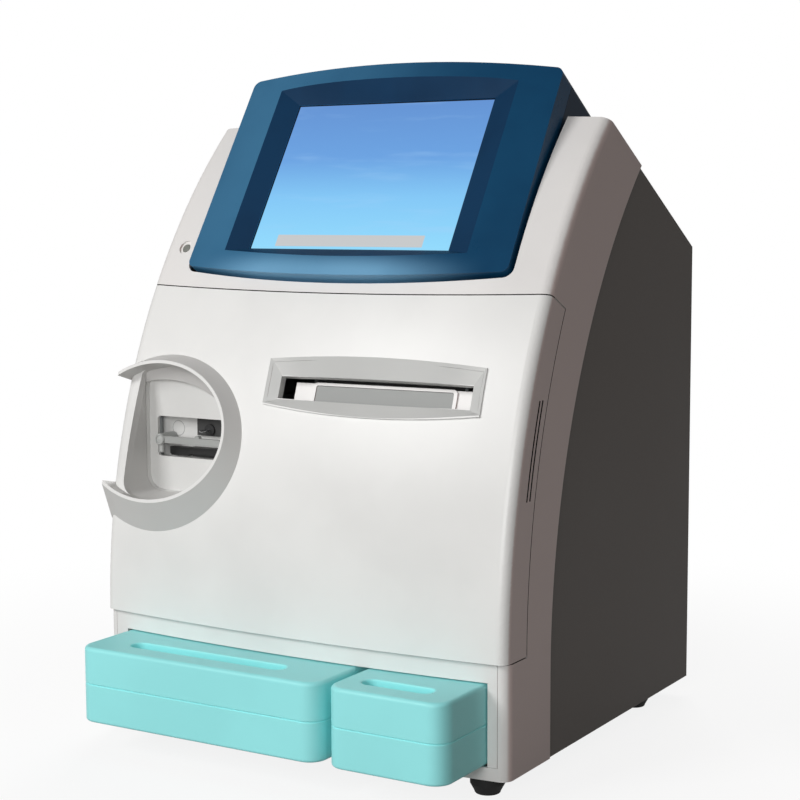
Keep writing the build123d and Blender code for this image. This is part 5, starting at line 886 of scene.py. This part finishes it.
# %% Blanked hole
BLANK_PLACE = (-0.1385, -0.08, 0.2265)
BLANK_RADIUS = 0.0056
RING_WIRE = 0.00022  # the radius of the ring's own section
corners = [math.radians(step) for step in range(0, 361, 45)]
ring_profile = [
    (BLANK_RADIUS + RING_WIRE * math.cos(corner), RING_WIRE * math.sin(corner)) for corner in corners
]
blank = bmesh.new()
turned(blank, ring_profile, facing_seat(BLANK_PLACE, FRONT), 64)
finished("blanked_hole", blank, plastics["lever_grey"], "housing")
print("blanked hole ringed")

# %% [markdown]
# ## Inside: chips and caps
# The boards and the electrodes lie inside and don't show on the picture. A few black chip
# packages on the main board and a coloured cap on each electrode, all guesses, are enough to
# read them by: moulded blocks with broken edges, and spun caps.

# %% Chips
MAIN_BOARD_FACE = -0.0075  # the front of the parts already on the main board
CHIP_THICK = 0.0016
CHIP_EDGE = 0.0003
CHIPS = (  # across, height, wide, high
    (-0.125, 0.215, 0.016, 0.016), (-0.098, 0.232, 0.010, 0.007), (-0.098, 0.205, 0.010, 0.007),
    (-0.070, 0.222, 0.020, 0.020), (-0.040, 0.236, 0.012, 0.006), (-0.040, 0.212, 0.012, 0.006),
    (-0.128, 0.168, 0.009, 0.018), (-0.085, 0.160, 0.014, 0.014), (-0.045, 0.165, 0.008, 0.012),
)
chip_black = moulded("chip_black", paint(28, 28, 30), 0.45)
chips = bmesh.new()
for x, z, wide, high in CHIPS:
    seat = Matrix.Translation((x, MAIN_BOARD_FACE - CHIP_THICK / 2, z))
    block(chips, (wide, CHIP_THICK, high), seat, CHIP_EDGE)
finished("board_chips", chips, chip_black, "housing", smooth=False)
print("chips on the main board:", len(CHIPS))

# %% Electrode caps
CAP_TONES = ((196, 62, 52), (222, 176, 60), (70, 148, 92), (64, 104, 176), (150, 90, 160))
FIRST_CAP = -0.011
CAP_PITCH = 0.0145
CAP_HEIGHT = 0.164
KNOB_PROFILE = [(0.0, 0.0012), (0.0034, 0.0012), (0.0042, 0.0006), (0.0044, -0.0006)]
electrode_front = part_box("electrodes")[0].y
for index, tone in enumerate(CAP_TONES):
    cap_plastic = moulded(f"electrode_cap_{index}", paint(*tone), 0.3)
    place = (FIRST_CAP + CAP_PITCH * index, electrode_front, CAP_HEIGHT)
    knob = bmesh.new()
    turned(knob, KNOB_PROFILE, facing_seat(place, FRONT), 40)
    finished(f"electrode_cap_{index}", knob, cap_plastic, "housing")
print("electrode caps:", len(CAP_TONES))

# %% [markdown]
# ## The floor
# The machine stands on a pale floor that runs out into white. The floor looks white to the
# camera and partly so in reflections, but light falls on its own dull grey, so that little of
# it comes back on the machine. Near the machine the white gives way and the shadow shows.

# %% Floor
FLOOR_RADIUS = 9.0
floor_mesh = bpy.data.meshes.new("floor")
floor_maker = bmesh.new()
bmesh.ops.create_circle(floor_maker, cap_ends=True, segments=96, radius=FLOOR_RADIUS)
floor_maker.to_mesh(floor_mesh)
floor_maker.free()
floor = bpy.data.objects.new("floor", floor_mesh)
bpy.context.scene.collection.objects.link(floor)
print("floor laid,", FLOOR_RADIUS, "m in radius")

# %% Floor finish
SHADOW_NEAR = 0.25  # within this distance of the middle the floor keeps the shadow
SHADOW_FAR = 0.75  # and beyond this one it is plain white
SHADOW_GLOW = 0.86  # the share of plain white that the camera sees where the shadow lies
FLOOR_GLOSS = 0.4  # how much of the white a reflection of the floor shows
floor_white = Finish("floor_white")
seen = floor_white.node("ShaderNodeLightPath", out="Is Camera Ray")
glossy = floor_white.node("ShaderNodeLightPath", out="Is Glossy Ray")
through = floor_white.node("ShaderNodeLightPath", out="Is Transmission Ray")
floor_tone = floor_white.mix(seen, (0.3, 0.29, 0.28, 1.0), (0.95, 0.95, 0.95, 1.0))
floor_white.set(Base_Color=floor_tone, Roughness=0.9, Specular_IOR_Level=0.1)
glow = floor_white.node("ShaderNodeEmission", {}, {"Color": PURE_WHITE, "Strength": 1.0})
from_middle = floor_white.node(
    "ShaderNodeVectorMath", {"operation": "LENGTH"}, {0: floor_white.place()}, out="Value"
)
glow_share = from_middle.spread(SHADOW_NEAR, SHADOW_FAR, SHADOW_GLOW, 1.0)
share = ((seen + through) * glow_share + glossy * FLOOR_GLOSS).spread(0.0, 1.0, soft=False)
blend = floor_white.node("ShaderNodeMixShader", {}, {0: share})
floor_white.tree.links.new(floor_white.shader.outputs[0], blend.socket.node.inputs[1])
floor_white.tree.links.new(glow.socket, blend.socket.node.inputs[2])
floor_white.tree.links.new(blend.socket, floor_white.output.inputs["Surface"])
floor.data.materials.append(floor_white.material)
print("floor finished")

# %% [markdown]
# ## The world
# Round the machine is a white backdrop. The camera sees it at full strength and reflections
# show a share of it, but what lights the machine is a dim warm fill, so the lamps decide which
# side is bright.

# %% World
WORLD_FILL = 0.11
WARM = (1.0, 0.91, 0.87, 1.0)
GLOSS_SHARE = 0.3  # how much of the white backdrop a reflection shows
world = bpy.data.worlds.new("studio")
world.use_nodes = True
bpy.context.scene.world = world
world_tree = world.node_tree
world_tree.nodes.clear()
world_out = world_tree.nodes.new("ShaderNodeOutputWorld")
fill = world_tree.nodes.new("ShaderNodeBackground")
fill.inputs["Color"].default_value = WARM
fill.inputs["Strength"].default_value = WORLD_FILL
white = world_tree.nodes.new("ShaderNodeBackground")
white.inputs["Strength"].default_value = 1.0
white.inputs["Color"].default_value = PURE_WHITE
paths = world_tree.nodes.new("ShaderNodeLightPath")
either = world_tree.nodes.new("ShaderNodeMath")
either.operation = "ADD"
either.use_clamp = True
world_tree.links.new(paths.outputs["Is Camera Ray"], either.inputs[0])
world_tree.links.new(paths.outputs["Is Transmission Ray"], either.inputs[1])
world_mix = world_tree.nodes.new("ShaderNodeMixShader")
backdrop = world_tree.nodes.new("ShaderNodeMath")
backdrop.operation = "MULTIPLY_ADD"
backdrop.use_clamp = True
backdrop.inputs[1].default_value = GLOSS_SHARE
world_tree.links.new(paths.outputs["Is Glossy Ray"], backdrop.inputs[0])
world_tree.links.new(either.outputs[0], backdrop.inputs[2])
world_tree.links.new(backdrop.outputs[0], world_mix.inputs[0])
world_tree.links.new(fill.outputs[0], world_mix.inputs[1])
world_tree.links.new(white.outputs[0], world_mix.inputs[2])
world_tree.links.new(world_mix.outputs[0], world_out.inputs["Surface"])
print("world fill:", WORLD_FILL)

# %% [markdown]
# ## The lamps
# The picture's light is soft and comes from the upper left, with some from the front. Square
# soft boxes over a metre wide give it, because a wide lamp's shadow has no hard edge. A third
# one behind lights the top and the rear for the other views.


# %% Lamps
def lamp(name, place, target, size, watts):
    """A square soft box that looks at a point."""
    data = bpy.data.lights.new(name, "AREA")
    data.shape = "SQUARE"
    data.size = size
    data.energy = watts
    thing = bpy.data.objects.new(name, data)
    bpy.context.scene.collection.objects.link(thing)
    thing.location = place
    away = Vector(place) - Vector(target)
    thing.rotation_euler = away.to_track_quat("Z", "Y").to_euler()
    print(name, "at", place, "with", watts, "W")


MACHINE_MIDDLE = (0.0, 0.0, 0.25)
UPPER_BODY = (0.0, 0.0, 0.3)
lamp("key_lamp", (-1.2, -2.3, 1.75), MACHINE_MIDDLE, 1.1, 42.0)
lamp("front_lamp", (0.62, -2.8, 0.85), MACHINE_MIDDLE, 1.2, 32.0)
lamp("back_lamp", (-0.6, 2.0, 1.9), UPPER_BODY, 1.2, 34.0)
bpy.context.scene.view_settings.view_transform = "Standard"

# %% [markdown]
# ## The end

# %% The end
print("the script ends here")
